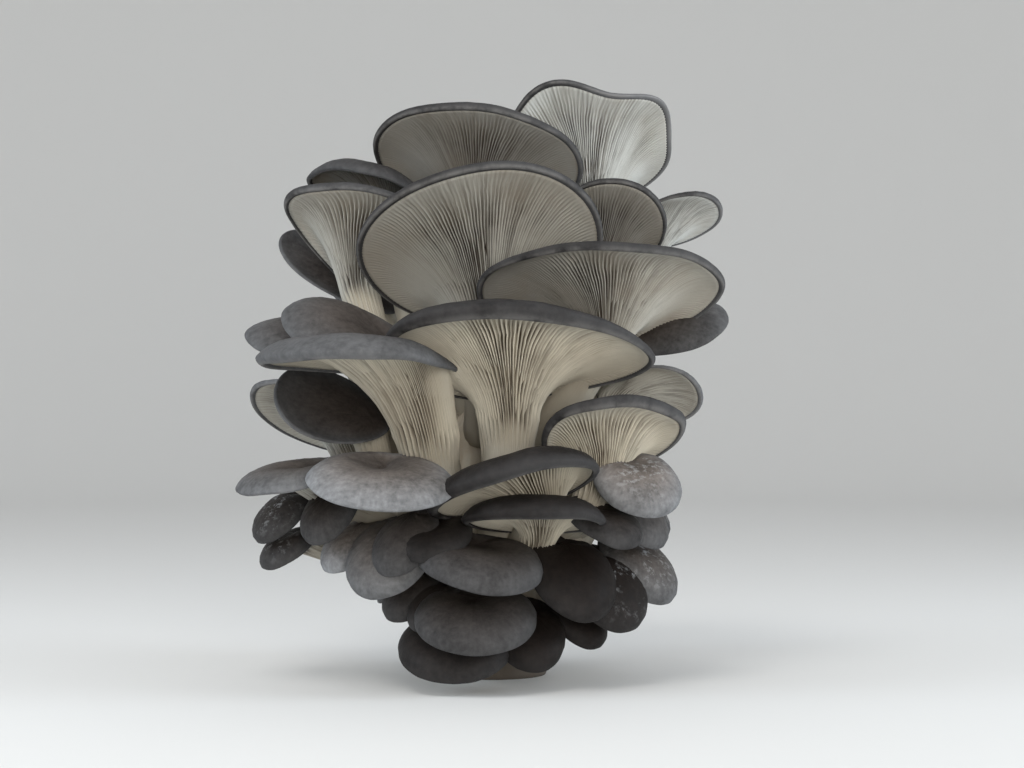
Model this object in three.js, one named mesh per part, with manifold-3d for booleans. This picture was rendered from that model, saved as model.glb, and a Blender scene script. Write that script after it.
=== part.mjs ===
// Oyster mushroom cluster: one cut cluster of grown-together oyster mushrooms, standing on its cut end.
// Millimetres, +Z up, -Y towards the viewer. The origin is the middle of the flat cut face.
// Each mushroom is one solid, its cap, gills and stem being one flesh. The butt is the fused base.
import * as THREE from "three";
import { mergeVertices } from "three/addons/utils/BufferGeometryUtils.js";
import Module from "manifold-3d";

// Driving dimensions
const clearance = 0.45; // how far a neighbour's skin is grown before it is cut away
const buttMiddle = new THREE.Vector2(0, 5);
const buttFlattening = 0.92; // depth of the butt over its width
const buttProfile = [[0, 25], [8, 29], [35, 37], [70, 38], [95, 32], [112, 21], [124, 10]];
const buttLobes = 7; // fused stems that swell the butt's side
const buttLobeSwell = 0.05;
const buttColumns = 21;

// Stems: where they leave the butt
const stemRise = 8; // how far a stem rises anyway, besides its slope
const lowestRoot = 12;
const highestRoot = 108;
const rootDepth = 0.6; // share of the butt's radius where a root ends
const rootReach = 0.8; // furthest share of the way to the neck where a root may end

// Caps: the middle of the upper side, and where the gills start
const navelStart = 0.12;
const navelLift = 4;
const thinnestShare = 0.25; // thickness near the heel, where the flesh has no room
const noseRoundness = 0.6;
const edgeAtHeel = 0.35; // share of the margin's thickness that is left at the heel
const edgePeak = 2; // how fast the margin thins towards the sides

// How finely each size of mushroom is divided. A ridge stands on every second column.
const sizes = {
  large: {
    columns: 28, topColumns: 14, gillRows: [0, 0.2, 0.45, 0.75, 1], stemRows: 2, topRows: [0.75, 0.45],
    ridge: 2.4, roundMargin: true,
  },
  middle: {
    columns: 16, topColumns: 8, gillRows: [0, 0.35, 0.75, 1], stemRows: 2, topRows: [0.75], ridge: 1.8,
  },
  small: { columns: 12, topColumns: 6, gillRows: [0, 0.6, 1], stemRows: 1, topRows: [0.6], ridge: 1.2 },
};
const ridgeFade = 0.25; // share of the gill's length over which a ridge runs out at both ends

// Colours of the dark skin, seen on the caps below, and of the pale gills and stems, seen above
const skinColour = "#56555a";
const fleshColour = "#a59f8e";

// What the mushrooms of one kind share. Lengths in millimetres, angles in degrees.
// turn: heading of the far margin, 0 towards the viewer and 90 to the right. tilt: how far it points up.
// bank: roll about that heading. reach and heel: neck to the far and near margins. width: across the cap.
// rise: margin above the neck. arch: how much higher its sides stand. egg: how much wider the far half is.
// flare: how long the gills follow the stem. curl: how far the margin rolls under.
// edge and thick: the flesh at the margin and over the neck. dome: how soon it fills out, under 1 soon.
// lean: how much thinner the right side of the margin is.
// slope: how far the stem rises for each millimetre that it stands out.
const fan = {
  size: "large", bank: 0, heel: 12, rise: 8, arch: 0, egg: 0.25, flare: 0.35, curl: 30, edge: 3.2, lean: 0,
  thick: 7, dome: 1.2, neckRadius: 8, rootRadius: 10, slope: 0.95, wave: 0, waves: 1, wavePhase: 0,
  ruffle: 0, ruffles: 1,
};
const smallFan = {
  ...fan, size: "middle", heel: 9, rise: 7, egg: 0.2, edge: 2.4, thick: 6, neckRadius: 6, rootRadius: 8,
};
const shelf = {
  ...fan, size: "middle", heel: 10, egg: 0.1, curl: 50, edge: 2.4, thick: 9, neckRadius: 9, rootRadius: 10,
  slope: 0.05,
};
const shingle = {
  ...fan, size: "small", heel: 8, rise: 7, egg: 0, curl: 60, edge: 2.2, thick: 10, dome: 0.65,
  neckRadius: 6, rootRadius: 6.5, slope: 0, domed: true,
};
const button = { ...shingle, heel: 6, rise: 5, thick: 8, neckRadius: 4.5, rootRadius: 5 };

// The mushrooms, front ones first, because a later one gives way to an earlier one
const mushrooms = [
  // Fans that show their gills
  { ...fan, name: "fan_front_centre", neck: [8, -45, 116], turn: 18, tilt: 26, reach: 60, heel: 14,
    width: 112, rise: 16, egg: 0.2, curl: 50, edge: 7.5, lean: 0.6, thick: 9, neckRadius: 11,
    rootRadius: 13, ruffle: -9 },
  { ...fan, name: "fan_front_left", neck: [-27, -42, 107], turn: -45, tilt: 4, bank: -2, reach: 77,
    heel: 14, width: 73, rise: 29, egg: 0.5, curl: 50, edge: 5.5, thick: 9, neckRadius: 12,
    rootRadius: 13 },
  { ...fan, name: "fan_right", neck: [46, -21, 145], turn: 16, tilt: 35, bank: 2, reach: 56, heel: 13,
    width: 111, rise: 14, arch: 3, egg: 0.05, curl: 35, edge: 4, neckRadius: 9, rootRadius: 11,
    slope: 0.3 },
  { ...fan, name: "fan_centre", neck: [-1, -15, 148], turn: -4, tilt: 45, bank: -7, reach: 84, heel: 8,
    width: 108, rise: 22, egg: 0.05, curl: 25, edge: 3.6, neckRadius: 10, rootRadius: 12, ruffle: 4,
    ruffles: 2 },
  { ...fan, name: "fan_top_left", neck: [-8, 10, 201], turn: -4, tilt: 40, bank: 7, reach: 62,
    width: 96, rise: 15, arch: 4, egg: 0.05, curl: 25, edge: 3.6, thick: 6 },
  { ...fan, name: "fan_top_right", neck: [43, 25, 203], turn: 10, tilt: 52, reach: 63, heel: 6,
    width: 86, rise: 24, egg: 0.1, curl: 15, edge: 2.2, lean: 0.5, thick: 5, wave: 0.07, waves: 5,
    wavePhase: -130, ruffle: -3, ruffles: 5 },
  { ...smallFan, name: "fan_right_front", neck: [46, -38, 85], turn: 32, tilt: 36, bank: 6, reach: 46,
    heel: 10, width: 62, rise: 12, egg: 0.3, curl: 35, edge: 5.5, neckRadius: 8, rootRadius: 9,
    slope: 0.5 },
  { ...smallFan, name: "fan_left", neck: [-60, 12, 173], turn: -25, tilt: 48, reach: 54, heel: 10,
    width: 64, rise: 8, arch: 10, egg: 0.3, curl: 35, edge: 3.5, neckRadius: 7, rootRadius: 9 },
  { ...shelf, name: "fan_right_back", neck: [46, -5, 178], turn: 20, tilt: 40, bank: 18, reach: 50,
    width: 50, rise: 12, curl: 20, thick: 5, neckRadius: 7, rootRadius: 9, slope: 0.95 },
  { ...smallFan, name: "fan_far_right", neck: [70, 14, 188], turn: 62, tilt: 25, bank: 15, reach: 42,
    heel: 6, width: 46, rise: 10, curl: 20, thick: 5 },
  { ...smallFan, name: "fan_left_rolled", neck: [-44, 20, 203], turn: -50, tilt: 22, reach: 45,
    heel: 10, width: 62, rise: 8, curl: 75 },
  { ...smallFan, name: "fan_left_spoon", neck: [-53, 34, 167], turn: -104, tilt: 33, bank: 40,
    reach: 58, heel: 10, width: 31, rise: 5, curl: -25, thick: 4 },
  { ...smallFan, name: "fan_left_folded", neck: [-48, -25, 146], turn: -72, tilt: 8, bank: 35,
    reach: 46, heel: 10, width: 40, curl: 60 },
  { ...smallFan, name: "fan_far_left", neck: [-58, -10, 140], turn: -85, tilt: 8, bank: 25, reach: 52,
    width: 38, rise: 6, curl: 50 },
  { ...smallFan, name: "fan_right_under", neck: [60, 14, 147], turn: 78, tilt: 10, bank: -40, reach: 50,
    width: 34, rise: 6, curl: 45, thick: 7 },
  { ...smallFan, name: "fan_right_low", neck: [54, -8, 122], turn: 75, tilt: 0, bank: 45, reach: 40,
    heel: 8, width: 36, rise: 6, thick: 5 },
  // Shelves, two of them with a rolled dark margin
  { ...shelf, name: "shelf_rolled_upper", neck: [20, -50, 74], turn: -22, tilt: 12, bank: -18,
    reach: 46, width: 70, curl: 70, edge: 7, thick: 8, neckRadius: 8, rootRadius: 9, slope: 0.1 },
  { ...shelf, name: "shelf_rolled_lower", neck: [20, -47, 64], turn: -4, tilt: 12, reach: 42, heel: 6,
    width: 56, rise: 4, curl: 65, edge: 6, thick: 7, neckRadius: 6, rootRadius: 7 },
  { ...shelf, name: "shelf_left_front", neck: [-44, -52, 90], turn: -6, tilt: -22, bank: 6, reach: 46,
    width: 62 },
  { ...shelf, name: "shelf_left", neck: [-72, -35, 88], turn: -50, tilt: -18, reach: 38, width: 52,
    neckRadius: 8 },
  { ...smallFan, name: "shelf_left_dish", neck: [-53, -37, 113], turn: -75, tilt: 15, bank: 45,
    reach: 45, width: 44, rise: 5, curl: -20, thick: 5, neckRadius: 7, rootRadius: 9 },
  { ...smallFan, name: "shelf_left_edge", neck: [-62, -14, 100], turn: -74, tilt: 28, bank: -25,
    reach: 52, width: 46, rise: 6, curl: 35, neckRadius: 7, rootRadius: 9, slope: 0.5 },
  // Shingled caps below, seen from their upper side
  { ...shingle, name: "shingle_middle_top", neck: [-6, -45, 53], turn: 0, tilt: -24, bank: 10,
    reach: 40, heel: 10, width: 54, rise: 9, neckRadius: 7 },
  { ...shingle, name: "shingle_middle", neck: [-6, -45, 30], turn: 0, tilt: -30, reach: 38, heel: 10,
    width: 51, rise: 9, neckRadius: 7 },
  { ...shingle, name: "shingle_bottom_left", neck: [-12, -38, 18], turn: -12, tilt: -30, bank: 4,
    reach: 36, heel: 9, width: 48, thick: 11 },
  { ...shingle, name: "shingle_bottom_right", neck: [15, -34, 27], turn: 8, tilt: -45, reach: 32,
    width: 29 },
  { ...shingle, name: "shingle_right_inner", neck: [27, -38, 55], turn: 28, tilt: -48, reach: 38,
    width: 38, thick: 11 },
  { ...button, name: "button_right_bottom", neck: [30, -26, 32], turn: 40, tilt: -45, reach: 26,
    width: 26, thick: 9 },
  { ...shingle, name: "shingle_right_middle", neck: [40, -26, 50], turn: 35, tilt: -50, reach: 38,
    width: 38, thick: 11 },
  { ...shingle, name: "shingle_right_outer", neck: [53, -10, 54], turn: 50, tilt: -45, reach: 34,
    width: 38, thick: 11 },
  { ...shingle, name: "shingle_right_bright", neck: [54, -34, 90], turn: 45, tilt: -38, bank: -15,
    reach: 32, heel: 6, width: 38, thick: 11 },
  { ...shingle, name: "shingle_right_upper", neck: [40, -42, 72], turn: 38, tilt: -32, reach: 30,
    width: 32, thick: 7 },
  { ...shingle, name: "shingle_right_back", neck: [50, -16, 76], turn: 50, tilt: -42, reach: 32,
    width: 34 },
  { ...button, name: "button_right_edge", neck: [48, 6, 76], turn: 72, tilt: -30, reach: 34, width: 28,
    thick: 9 },
  { ...shingle, name: "shingle_left_inner", neck: [-22, -46, 64], turn: -15, tilt: -26, reach: 30,
    width: 36, thick: 8 },
  { ...button, name: "button_left_inner", neck: [-29, -46, 69], turn: -25, tilt: -40, reach: 34,
    width: 26, thick: 9 },
  { ...shingle, name: "shingle_left_large", neck: [-35, -38, 63], turn: -25, tilt: -45, reach: 38,
    width: 38, thick: 11 },
  { ...button, name: "button_left_outer", neck: [-62, -34, 79], turn: -35, tilt: -50, reach: 26,
    heel: 7, width: 25, rise: 6, thick: 10 },
  { ...button, name: "button_far_left_upper", neck: [-82, -16, 76], turn: -50, tilt: -45, reach: 26,
    heel: 7, width: 26, rise: 6, thick: 10 },
  { ...button, name: "button_far_left_lower", neck: [-80, -16, 60], turn: -50, tilt: -35, reach: 24,
    width: 24 },
  { ...button, name: "button_left_pale", neck: [-52, -24, 64], turn: -40, tilt: -40, reach: 28,
    width: 26 },
  { ...button, name: "button_left_low", neck: [-27, -30, 43], turn: -35, tilt: -42, reach: 26,
    width: 24 },
  { ...button, name: "button_left_lowest", neck: [-18, -40, 40], turn: -30, tilt: -42, reach: 26,
    width: 20, thick: 7, rootRadius: 6 },
  // The back and the sides
  { ...fan, name: "back_fan_left", size: "middle", neck: [-36, 46, 152], turn: -156, tilt: 38,
    reach: 56, width: 72, egg: 0.2, edge: 2.4, thick: 6 },
  { ...fan, name: "back_fan_right", size: "middle", neck: [34, 46, 148], turn: 150, tilt: 36, reach: 54,
    width: 68, egg: 0.2, edge: 2.4, thick: 6 },
  { ...fan, name: "back_fan_middle", size: "middle", neck: [-2, 50, 108], turn: 180, tilt: 26,
    reach: 46, heel: 10, width: 64, egg: 0.2, curl: 40, edge: 2.4 },
  { ...shingle, name: "back_cap_left", neck: [-40, 30, 74], turn: -140, tilt: -5, reach: 36,
    width: 44 },
  { ...shingle, name: "back_cap_right", neck: [38, 32, 70], turn: 140, tilt: -8, reach: 36, width: 42 },
  { ...shingle, name: "back_cap_low", neck: [0, 38, 38], turn: 180, tilt: -15, reach: 34, width: 46 },
  { ...shingle, name: "back_button_left", neck: [-28, 20, 30], turn: -115, tilt: -14, reach: 24,
    heel: 7, width: 28, rise: 6, thick: 9, rootRadius: 8 },
  { ...shingle, name: "back_button_right", neck: [36, 16, 26], turn: 108, tilt: -14, reach: 28, heel: 7,
    width: 32, rise: 6, thick: 9, rootRadius: 8 },
];

// Small vector helpers
const radians = THREE.MathUtils.degToRad;
const clamp = THREE.MathUtils.clamp;
const turnOf = (column, columns) => (2 * Math.PI * column) / columns;

function sum(...terms) {
  // Adds pairs of a vector and a factor
  const total = new THREE.Vector3();
  for (const [vector, factor] of terms) total.addScaledVector(vector, factor);
  return total;
}

function radiusOfButt(z) {
  const above = buttProfile.findIndex(([height]) => height >= z);
  const [z1, r1] = buttProfile[Math.max(above, 1)];
  const [z0, r0] = buttProfile[Math.max(above, 1) - 1];
  return THREE.MathUtils.mapLinear(z, z0, z1, r0, r1);
}

// The cap's own axes: out to the far margin, up through its skin, and side
function axesOf(mushroom) {
  const turn = radians(mushroom.turn);
  const tilt = radians(mushroom.tilt);
  const bank = radians(mushroom.bank);
  const out = new THREE.Vector3(
    Math.sin(turn) * Math.cos(tilt), -Math.cos(turn) * Math.cos(tilt), Math.sin(tilt),
  );
  const level = sum([new THREE.Vector3(0, 0, 1), 1], [out, -out.z]).normalize();
  const across = level.clone().cross(out);
  const up = sum([level, Math.cos(bank)], [across, Math.sin(bank)]);
  const side = sum([across, Math.cos(bank)], [level, -Math.sin(bank)]);
  return { out, up, side };
}

// The root lies inside the butt, below the neck and towards the butt's middle
function rootOf(neck, slope) {
  const x = neck.x - buttMiddle.x;
  const y = neck.y - buttMiddle.y;
  const distance = Math.max(Math.hypot(x, y), 1);
  const z = clamp(neck.z - stemRise - slope * distance, lowestRoot, highestRoot);
  const share = Math.min((rootDepth * radiusOfButt(z)) / distance, rootReach);
  return new THREE.Vector3(buttMiddle.x + x * share, buttMiddle.y + y * share, z);
}

// One mushroom as rings: up the stem, out along the gills, round the margin and back over the cap
class Mushroom {
  constructor(row) {
    Object.assign(this, row, axesOf(row), sizes[row.size]);
    this.neck = new THREE.Vector3(...row.neck);
    this.root = rootOf(this.neck, this.slope);
    const rising = this.neck.clone().sub(this.root);
    this.stemEnd = sum([rising.clone().normalize(), 0.6], [this.up, 0.4]).normalize();
    this.stemBend = sum([this.neck, 1], [this.stemEnd, -0.5 * rising.length()]);
    this.middle = sum([this.neck, 1], [this.out, 0.35 * (this.reach - this.heel) / 2]);
  }

  // A point on a circle across the stem, 0 in front and a quarter turn at the side
  around(centre, along, radius, angle) {
    const side = sum([this.side, 1], [along, -along.dot(this.side)]).normalize();
    const front = side.clone().cross(along);
    return sum([centre, 1], [side, radius * Math.sin(angle)], [front, radius * Math.cos(angle)]);
  }

  stemPoint(share, angle) {
    const rest = 1 - share;
    const centre = sum(
      [this.root, rest * rest], [this.stemBend, 2 * share * rest], [this.neck, share * share],
    );
    const along = sum(
      [this.root, -rest], [this.stemBend, rest - share], [this.neck, share],
    ).normalize();
    const radius = THREE.MathUtils.lerp(this.rootRadius, this.neckRadius, share ** 0.8);
    return this.around(centre, along, radius, angle);
  }

  // The line of the margin
  marginPoint(angle) {
    const sine = Math.sin(angle);
    const cosine = Math.cos(angle);
    const front = 0.5 + 0.5 * cosine; // 1 at the far margin, 0 at the heel
    const ripple = 1 + this.wave * Math.sin(this.waves * angle + radians(this.wavePhase)) * front;
    const across = (this.width / 2) * sine * (1 + this.egg * cosine) * ripple;
    const along = (this.reach - this.heel) / 2 + ((this.reach + this.heel) / 2) * cosine * ripple;
    const lift = this.rise + this.arch * sine ** 2 + this.ruffle * Math.sin(this.ruffles * angle) * front;
    return sum([this.neck, 1], [this.side, across], [this.out, along], [this.up, lift]);
  }

  // The gill side, from the neck at share 0 to the margin at share 1
  gillPoint(share, angle) {
    const start = this.around(this.neck, this.stemEnd, this.neckRadius, angle);
    const end = this.marginPoint(angle);
    const span = start.distanceTo(end);
    const radial = end.clone().sub(this.middle);
    radial.addScaledVector(this.up, -radial.dot(this.up)).normalize();
    const curl = radians(this.curl);
    const arrive = sum([radial, Math.cos(curl)], [this.up, -Math.sin(curl)]);
    const bend = sum([start, 1], [this.stemEnd, this.flare * span]);
    const roll = sum([end, 1], [arrive, -0.4 * span]);
    const rest = 1 - share;
    return sum(
      [start, rest ** 3], [bend, 3 * share * rest ** 2], [roll, 3 * share ** 2 * rest], [end, share ** 3],
    );
  }

  // Unit direction from the gill side into the flesh, and how much room the flesh has there
  fleshAt(share, angle) {
    const step = 0.02;
    const low = Math.max(share - step, 0);
    const high = Math.min(share + step, 1);
    const along = this.gillPoint(high, angle).sub(this.gillPoint(low, angle));
    const around = this.gillPoint(share, angle + step).sub(this.gillPoint(share, angle - step));
    const span = this.gillPoint(0, angle).distanceTo(this.gillPoint(1, angle));
    const room = clamp(span / (0.5 * this.reach), thinnestShare, 1);
    return { normal: along.cross(around).normalize(), room };
  }

  gillRing(share) {
    const fade = clamp(Math.min(share, 1 - share) / ridgeFade, 0, 1);
    const ring = [];
    for (let column = 0; column < this.columns; column += 1) {
      const angle = turnOf(column, this.columns);
      const { normal, room } = this.fleshAt(share, angle);
      const ridge = column % 2 === 1 ? this.ridge * fade * room : 0;
      ring.push(this.gillPoint(share, angle).addScaledVector(normal, -ridge));
    }
    return ring;
  }

  topPoint(share, angle) {
    const { normal, room } = this.fleshAt(share, angle);
    const front = 0.5 + 0.5 * Math.cos(angle);
    const lean = 1 - this.lean * Math.max(Math.sin(angle), 0);
    const edge = this.edge * (edgeAtHeel + (1 - edgeAtHeel) * front ** edgePeak) * lean;
    const flesh = edge + (this.thick - edge) * (1 - share) ** this.dome * room;
    const steady = clamp(share / 0.5, 0, 1);
    const direction = sum([this.up, 1 - steady], [normal, steady]).normalize();
    return this.gillPoint(share, angle).addScaledVector(direction, flesh);
  }

  navelPoint() {
    const middle = new THREE.Vector3();
    const samples = this.columns;
    for (let column = 0; column < samples; column += 1) {
      middle.addScaledVector(this.gillPoint(navelStart, turnOf(column, samples)), 1 / samples);
    }
    return middle.addScaledVector(this.up, this.domed ? this.thick : navelLift);
  }

  ring(count, point) {
    return Array.from({ length: count }, (_, column) => point(turnOf(column, count)));
  }

  // Half as many columns as the gills have
  plainRing(point) {
    return this.ring(this.columns / 2, point);
  }

  // The roundest part of the margin's edge
  marginNose(angle) {
    const under = this.gillPoint(1, angle);
    const over = this.topPoint(1, angle);
    const outward = under.clone().sub(this.gillPoint(0.96, angle)).normalize();
    const radius = 0.5 * under.distanceTo(over) * noseRoundness;
    return under.lerp(over, 0.5).addScaledVector(outward, radius);
  }

  topRing(share) {
    const navel = this.navelPoint();
    const open = (share - navelStart) / (1 - navelStart);
    const spread = (open * (2 - open)) ** 0.8;
    return this.ring(this.topColumns, (angle) => navel.clone().lerp(this.topPoint(share, angle), spread));
  }

  // The margin's edge, divided as finely as the gills: rounded on a large cap
  marginRings() {
    const over = this.ring(this.columns, (angle) => this.topPoint(1, angle));
    if (!this.roundMargin) return [over];
    return [this.ring(this.columns, (angle) => this.marginNose(angle)), over];
  }

  rings() {
    const stem = Array.from({ length: this.stemRows }, (_, row) =>
      this.plainRing((angle) => this.stemPoint(row / this.stemRows, angle)));
    const gills = this.gillRows.map((share) => this.gillRing(share));
    const top = this.topRows.map((share) => this.topRing(share));
    return [...stem, ...gills, ...this.marginRings(), ...top];
  }

  solid(grow = 0) {
    return closedSolid(this.rings(), this.root, this.navelPoint(), grow);
  }
}

// The fused base: a tapering mass swollen by the stems that grew together in it, cut flat below
function buttRings() {
  return buttProfile.map(([z, radius]) =>
    Array.from({ length: buttColumns }, (_, column) => {
      const angle = turnOf(column, buttColumns);
      const swell = 1 + buttLobeSwell * Math.sin(buttLobes * angle) * Math.min(z / 20, 1);
      const x = buttMiddle.x + radius * swell * Math.sin(angle);
      const y = buttMiddle.y - radius * swell * buttFlattening * Math.cos(angle);
      return new THREE.Vector3(x, y, z);
    }));
}

function buttSolid(grow = 0) {
  const [lowest] = buttProfile[0];
  const [highest] = buttProfile.at(-1);
  const foot = new THREE.Vector3(buttMiddle.x, buttMiddle.y, lowest);
  const crown = new THREE.Vector3(buttMiddle.x, buttMiddle.y, highest + 2);
  return closedSolid(buttRings(), foot, crown, grow);
}

// Faces between two rings. One ring may have twice the points of the other.
function bandFaces(low, lowStart, high, highStart) {
  const faces = [];
  const cells = Math.min(low, high);
  for (let cell = 0; cell < cells; cell += 1) {
    const a = lowStart + (cell * low) / cells;
    const b = lowStart + (((cell + 1) * low) / cells) % low;
    const c = highStart + (((cell + 1) * high) / cells) % high;
    const d = highStart + (cell * high) / cells;
    if (low > high) faces.push([a, a + 1, d], [a + 1, b, c], [a + 1, c, d]);
    else if (high > low) faces.push([a, b, d + 1], [a, d + 1, d], [b, c, d + 1]);
    else faces.push([a, b, c], [a, c, d]);
  }
  return faces;
}

// A closed solid from rings, lowest first, with a point that closes each end
function closedSolid(rings, foot, crown, grow) {
  const points = rings.flat();
  const faces = [];
  const starts = [];
  let start = 0;
  for (const ring of rings) {
    starts.push(start);
    start += ring.length;
  }
  for (let row = 0; row + 1 < rings.length; row += 1) {
    faces.push(...bandFaces(rings[row].length, starts[row], rings[row + 1].length, starts[row + 1]));
  }
  const footIndex = points.push(foot) - 1;
  const crownIndex = points.push(crown) - 1;
  const first = rings[0].length;
  for (let column = 0; column < first; column += 1) {
    faces.push([footIndex, (column + 1) % first, column]);
  }
  const last = rings.at(-1).length;
  for (let column = 0; column < last; column += 1) {
    faces.push([crownIndex, starts.at(-1) + column, starts.at(-1) + ((column + 1) % last)]);
  }
  const geometry = new THREE.BufferGeometry();
  const numbers = points.flatMap((point) => point.toArray());
  geometry.setAttribute("position", new THREE.Float32BufferAttribute(numbers, 3));
  geometry.setIndex(faces.flat());
  if (grow > 0) growAlongNormals(geometry, grow);
  return toManifold(geometry);
}

function growAlongNormals(geometry, distance) {
  geometry.computeVertexNormals();
  const { position, normal } = geometry.attributes;
  for (let index = 0; index < position.count; index += 1) {
    const place = new THREE.Vector3().fromBufferAttribute(position, index);
    const outward = new THREE.Vector3().fromBufferAttribute(normal, index);
    place.addScaledVector(outward, distance);
    position.setXYZ(index, place.x, place.y, place.z);
  }
  geometry.deleteAttribute("normal");
}

// To and from the solids that can be cut
const wasm = await Module();
wasm.setup();

function toManifold(geometry) {
  const merged = mergeVertices(geometry, 1e-5);
  return new wasm.Manifold(new wasm.Mesh({
    numProp: 3,
    vertProperties: Float32Array.from(merged.attributes.position.array),
    triVerts: Uint32Array.from(merged.index.array),
  }));
}

function toGeometry(solid) {
  const mesh = solid.getMesh();
  const geometry = new THREE.BufferGeometry();
  geometry.setAttribute("position", new THREE.BufferAttribute(mesh.vertProperties, 3));
  geometry.setIndex(new THREE.BufferAttribute(mesh.triVerts, 1));
  return geometry;
}

// The mushroom itself, without the scraps and slits that a cut leaves
function largestBody(solid) {
  const bodies = toManifold(toGeometry(solid)).decompose();
  return bodies.reduce((best, body) => (body.volume() > best.volume() ? body : best));
}

function boxesMeet(one, other) {
  const a = one.boundingBox();
  const b = other.boundingBox();
  return [0, 1, 2].every((axis) => a.min[axis] <= b.max[axis] && b.min[axis] <= a.max[axis]);
}

function namedMesh(name, solid, colour) {
  const material = new THREE.MeshStandardMaterial({ color: colour, roughness: 0.75, metalness: 0 });
  const mesh = new THREE.Mesh(toGeometry(solid), material);
  mesh.name = name;
  return mesh;
}

// Each mushroom gives way to the butt and to the mushrooms before it
function buildCluster() {
  const cluster = new THREE.Group();
  cluster.name = "oyster_mushroom_cluster";
  cluster.add(namedMesh("butt", buttSolid(), fleshColour));
  const taken = [buttSolid(clearance).add(buttSolid())];
  for (const row of mushrooms) {
    const mushroom = new Mushroom(row);
    let solid = mushroom.solid();
    for (const neighbour of taken) {
      if (boxesMeet(solid, neighbour)) solid = solid.subtract(neighbour);
    }
    cluster.add(namedMesh(row.name, largestBody(solid), row.domed ? skinColour : fleshColour));
    taken.push(mushroom.solid(clearance).add(mushroom.solid()));
  }
  return cluster;
}

export default buildCluster();
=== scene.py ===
"""Oyster mushroom cluster, dressed around its CAD frame: caps, gills, stems, butt and a studio stage.

Every mushroom is two closed shells that meet in its flesh: the dark cap, and the pale gills with a stem.
Shapes are worked out in millimetres and kept in metres. -Y is towards the viewer and +Z is up.
"""
import math

import bpy
import numpy as np
from bpy.props import FloatProperty, FloatVectorProperty, IntProperty, PointerProperty
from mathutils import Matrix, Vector


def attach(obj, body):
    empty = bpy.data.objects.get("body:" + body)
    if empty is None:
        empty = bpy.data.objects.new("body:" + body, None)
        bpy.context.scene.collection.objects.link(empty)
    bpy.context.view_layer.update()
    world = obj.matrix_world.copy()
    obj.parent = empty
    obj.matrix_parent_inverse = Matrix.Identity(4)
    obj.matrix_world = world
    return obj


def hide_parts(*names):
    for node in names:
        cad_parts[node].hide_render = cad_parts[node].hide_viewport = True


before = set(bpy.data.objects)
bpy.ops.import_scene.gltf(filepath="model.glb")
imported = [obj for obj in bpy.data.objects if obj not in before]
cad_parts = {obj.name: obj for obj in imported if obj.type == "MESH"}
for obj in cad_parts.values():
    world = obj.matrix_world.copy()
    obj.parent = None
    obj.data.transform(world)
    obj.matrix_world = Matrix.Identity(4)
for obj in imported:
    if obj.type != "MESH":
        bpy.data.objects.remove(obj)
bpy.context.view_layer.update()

bl_info = {
    "name": "Oyster mushroom cluster",
    "version": (1, 0, 0),
    "blender": (4, 5, 0),
    "location": "3D View > Sidebar > Mushrooms",
    "description": "Builds a cluster of grown-together oyster mushrooms and a studio stage",
    "category": "Object",
}

MM = 0.001

# The butt. Lengths are in millimetres.
BUTT_MIDDLE = np.array([0.0, 5.0])
BUTT_FLATTENING = 0.92  # depth over width
BUTT_PROFILE = ((0, 25), (8, 29), (35, 37), (70, 38), (95, 32), (112, 21), (124, 10))  # height, radius
BUTT_CROWN = 2  # how far its middle stands above the profile's end
BUTT_LOBES = 7  # fused stems that swell its side
BUTT_LOBE_SWELL = 0.05
BUTT_SMOOTH_FOOT = 20  # lobes and folds grow in over this height
BUTT_FOLDS = (13, 19, 29, 41)  # upright folds, in numbers round the butt
BUTT_FOLD_DEPTH = 0.009  # share of the radius
BUTT_FOLD_TWIST = 0.02  # radians for each millimetre of height
BUTT_FOLD_INSET = 0.01  # keeps the folds inside the CAD's side
BUTT_FOLD_SEED = 3
BUTT_COLUMNS = 168
BUTT_ROWS = 64

# Stems: where they leave the butt
STEM_RISE = 8  # how far a stem rises anyway, besides its slope
LOWEST_ROOT = 12
HIGHEST_ROOT = 108
ROOT_DEPTH = 0.6  # share of the butt's radius where a root ends
ROOT_REACH = 0.8  # furthest share of the way to the neck where a root may end
CAP_PULL = 0.4  # how much a stem's end turns to its cap, rather than away from its root
STEM_BEND = 0.5  # share of a stem that its bend takes up
STEM_TAPER = 0.8  # how soon a stem narrows from root to neck, under 1 soon

# Caps
NAVEL_START = 0.12  # share of the gill side under the middle of the upper side
NAVEL_LIFT = 4
NAVEL_SAMPLES = 64
MIDDLE_SHIFT = 0.35  # how far towards the outline's middle the gills' centre lies
ROLL_START = 0.4  # share of the gill side that rolls in towards the margin
FULL_ROOM = 0.5  # span over reach from which the flesh has its full thickness
THINNEST_SHARE = 0.25  # thickness near the heel, where the flesh has no room
STEADY_SHARE = 0.5  # share of the gill side from which the skin lies square over it
SPREAD_POWER = 0.8  # how fast the upper side opens from the navel
LIP_APPROACH = 0.96  # share of the gill side from where the lip takes its direction
NOSE_ROUNDNESS = 0.6
LOBES = np.arange(2, 8)  # waves round the margin that make it uneven
LOBE_LIFT = 0.006  # their height as a share of the width
EDGE_AT_HEEL = 0.35  # share of the margin's thickness that is left at the heel
EDGE_PEAK = 2  # how fast the margin thins towards the sides
MARGIN_INSET = 0.6  # keeps the smooth margins inside the CAD's box
SKIN_TURNS_UNDER = 0.985  # share of the gill side where the dark skin of the margin ends
TUCK = 0.3  # how far the gills' outer edge lies under that skin
TUCK_START = 0.955  # share of the gill side where it starts to go under

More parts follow.
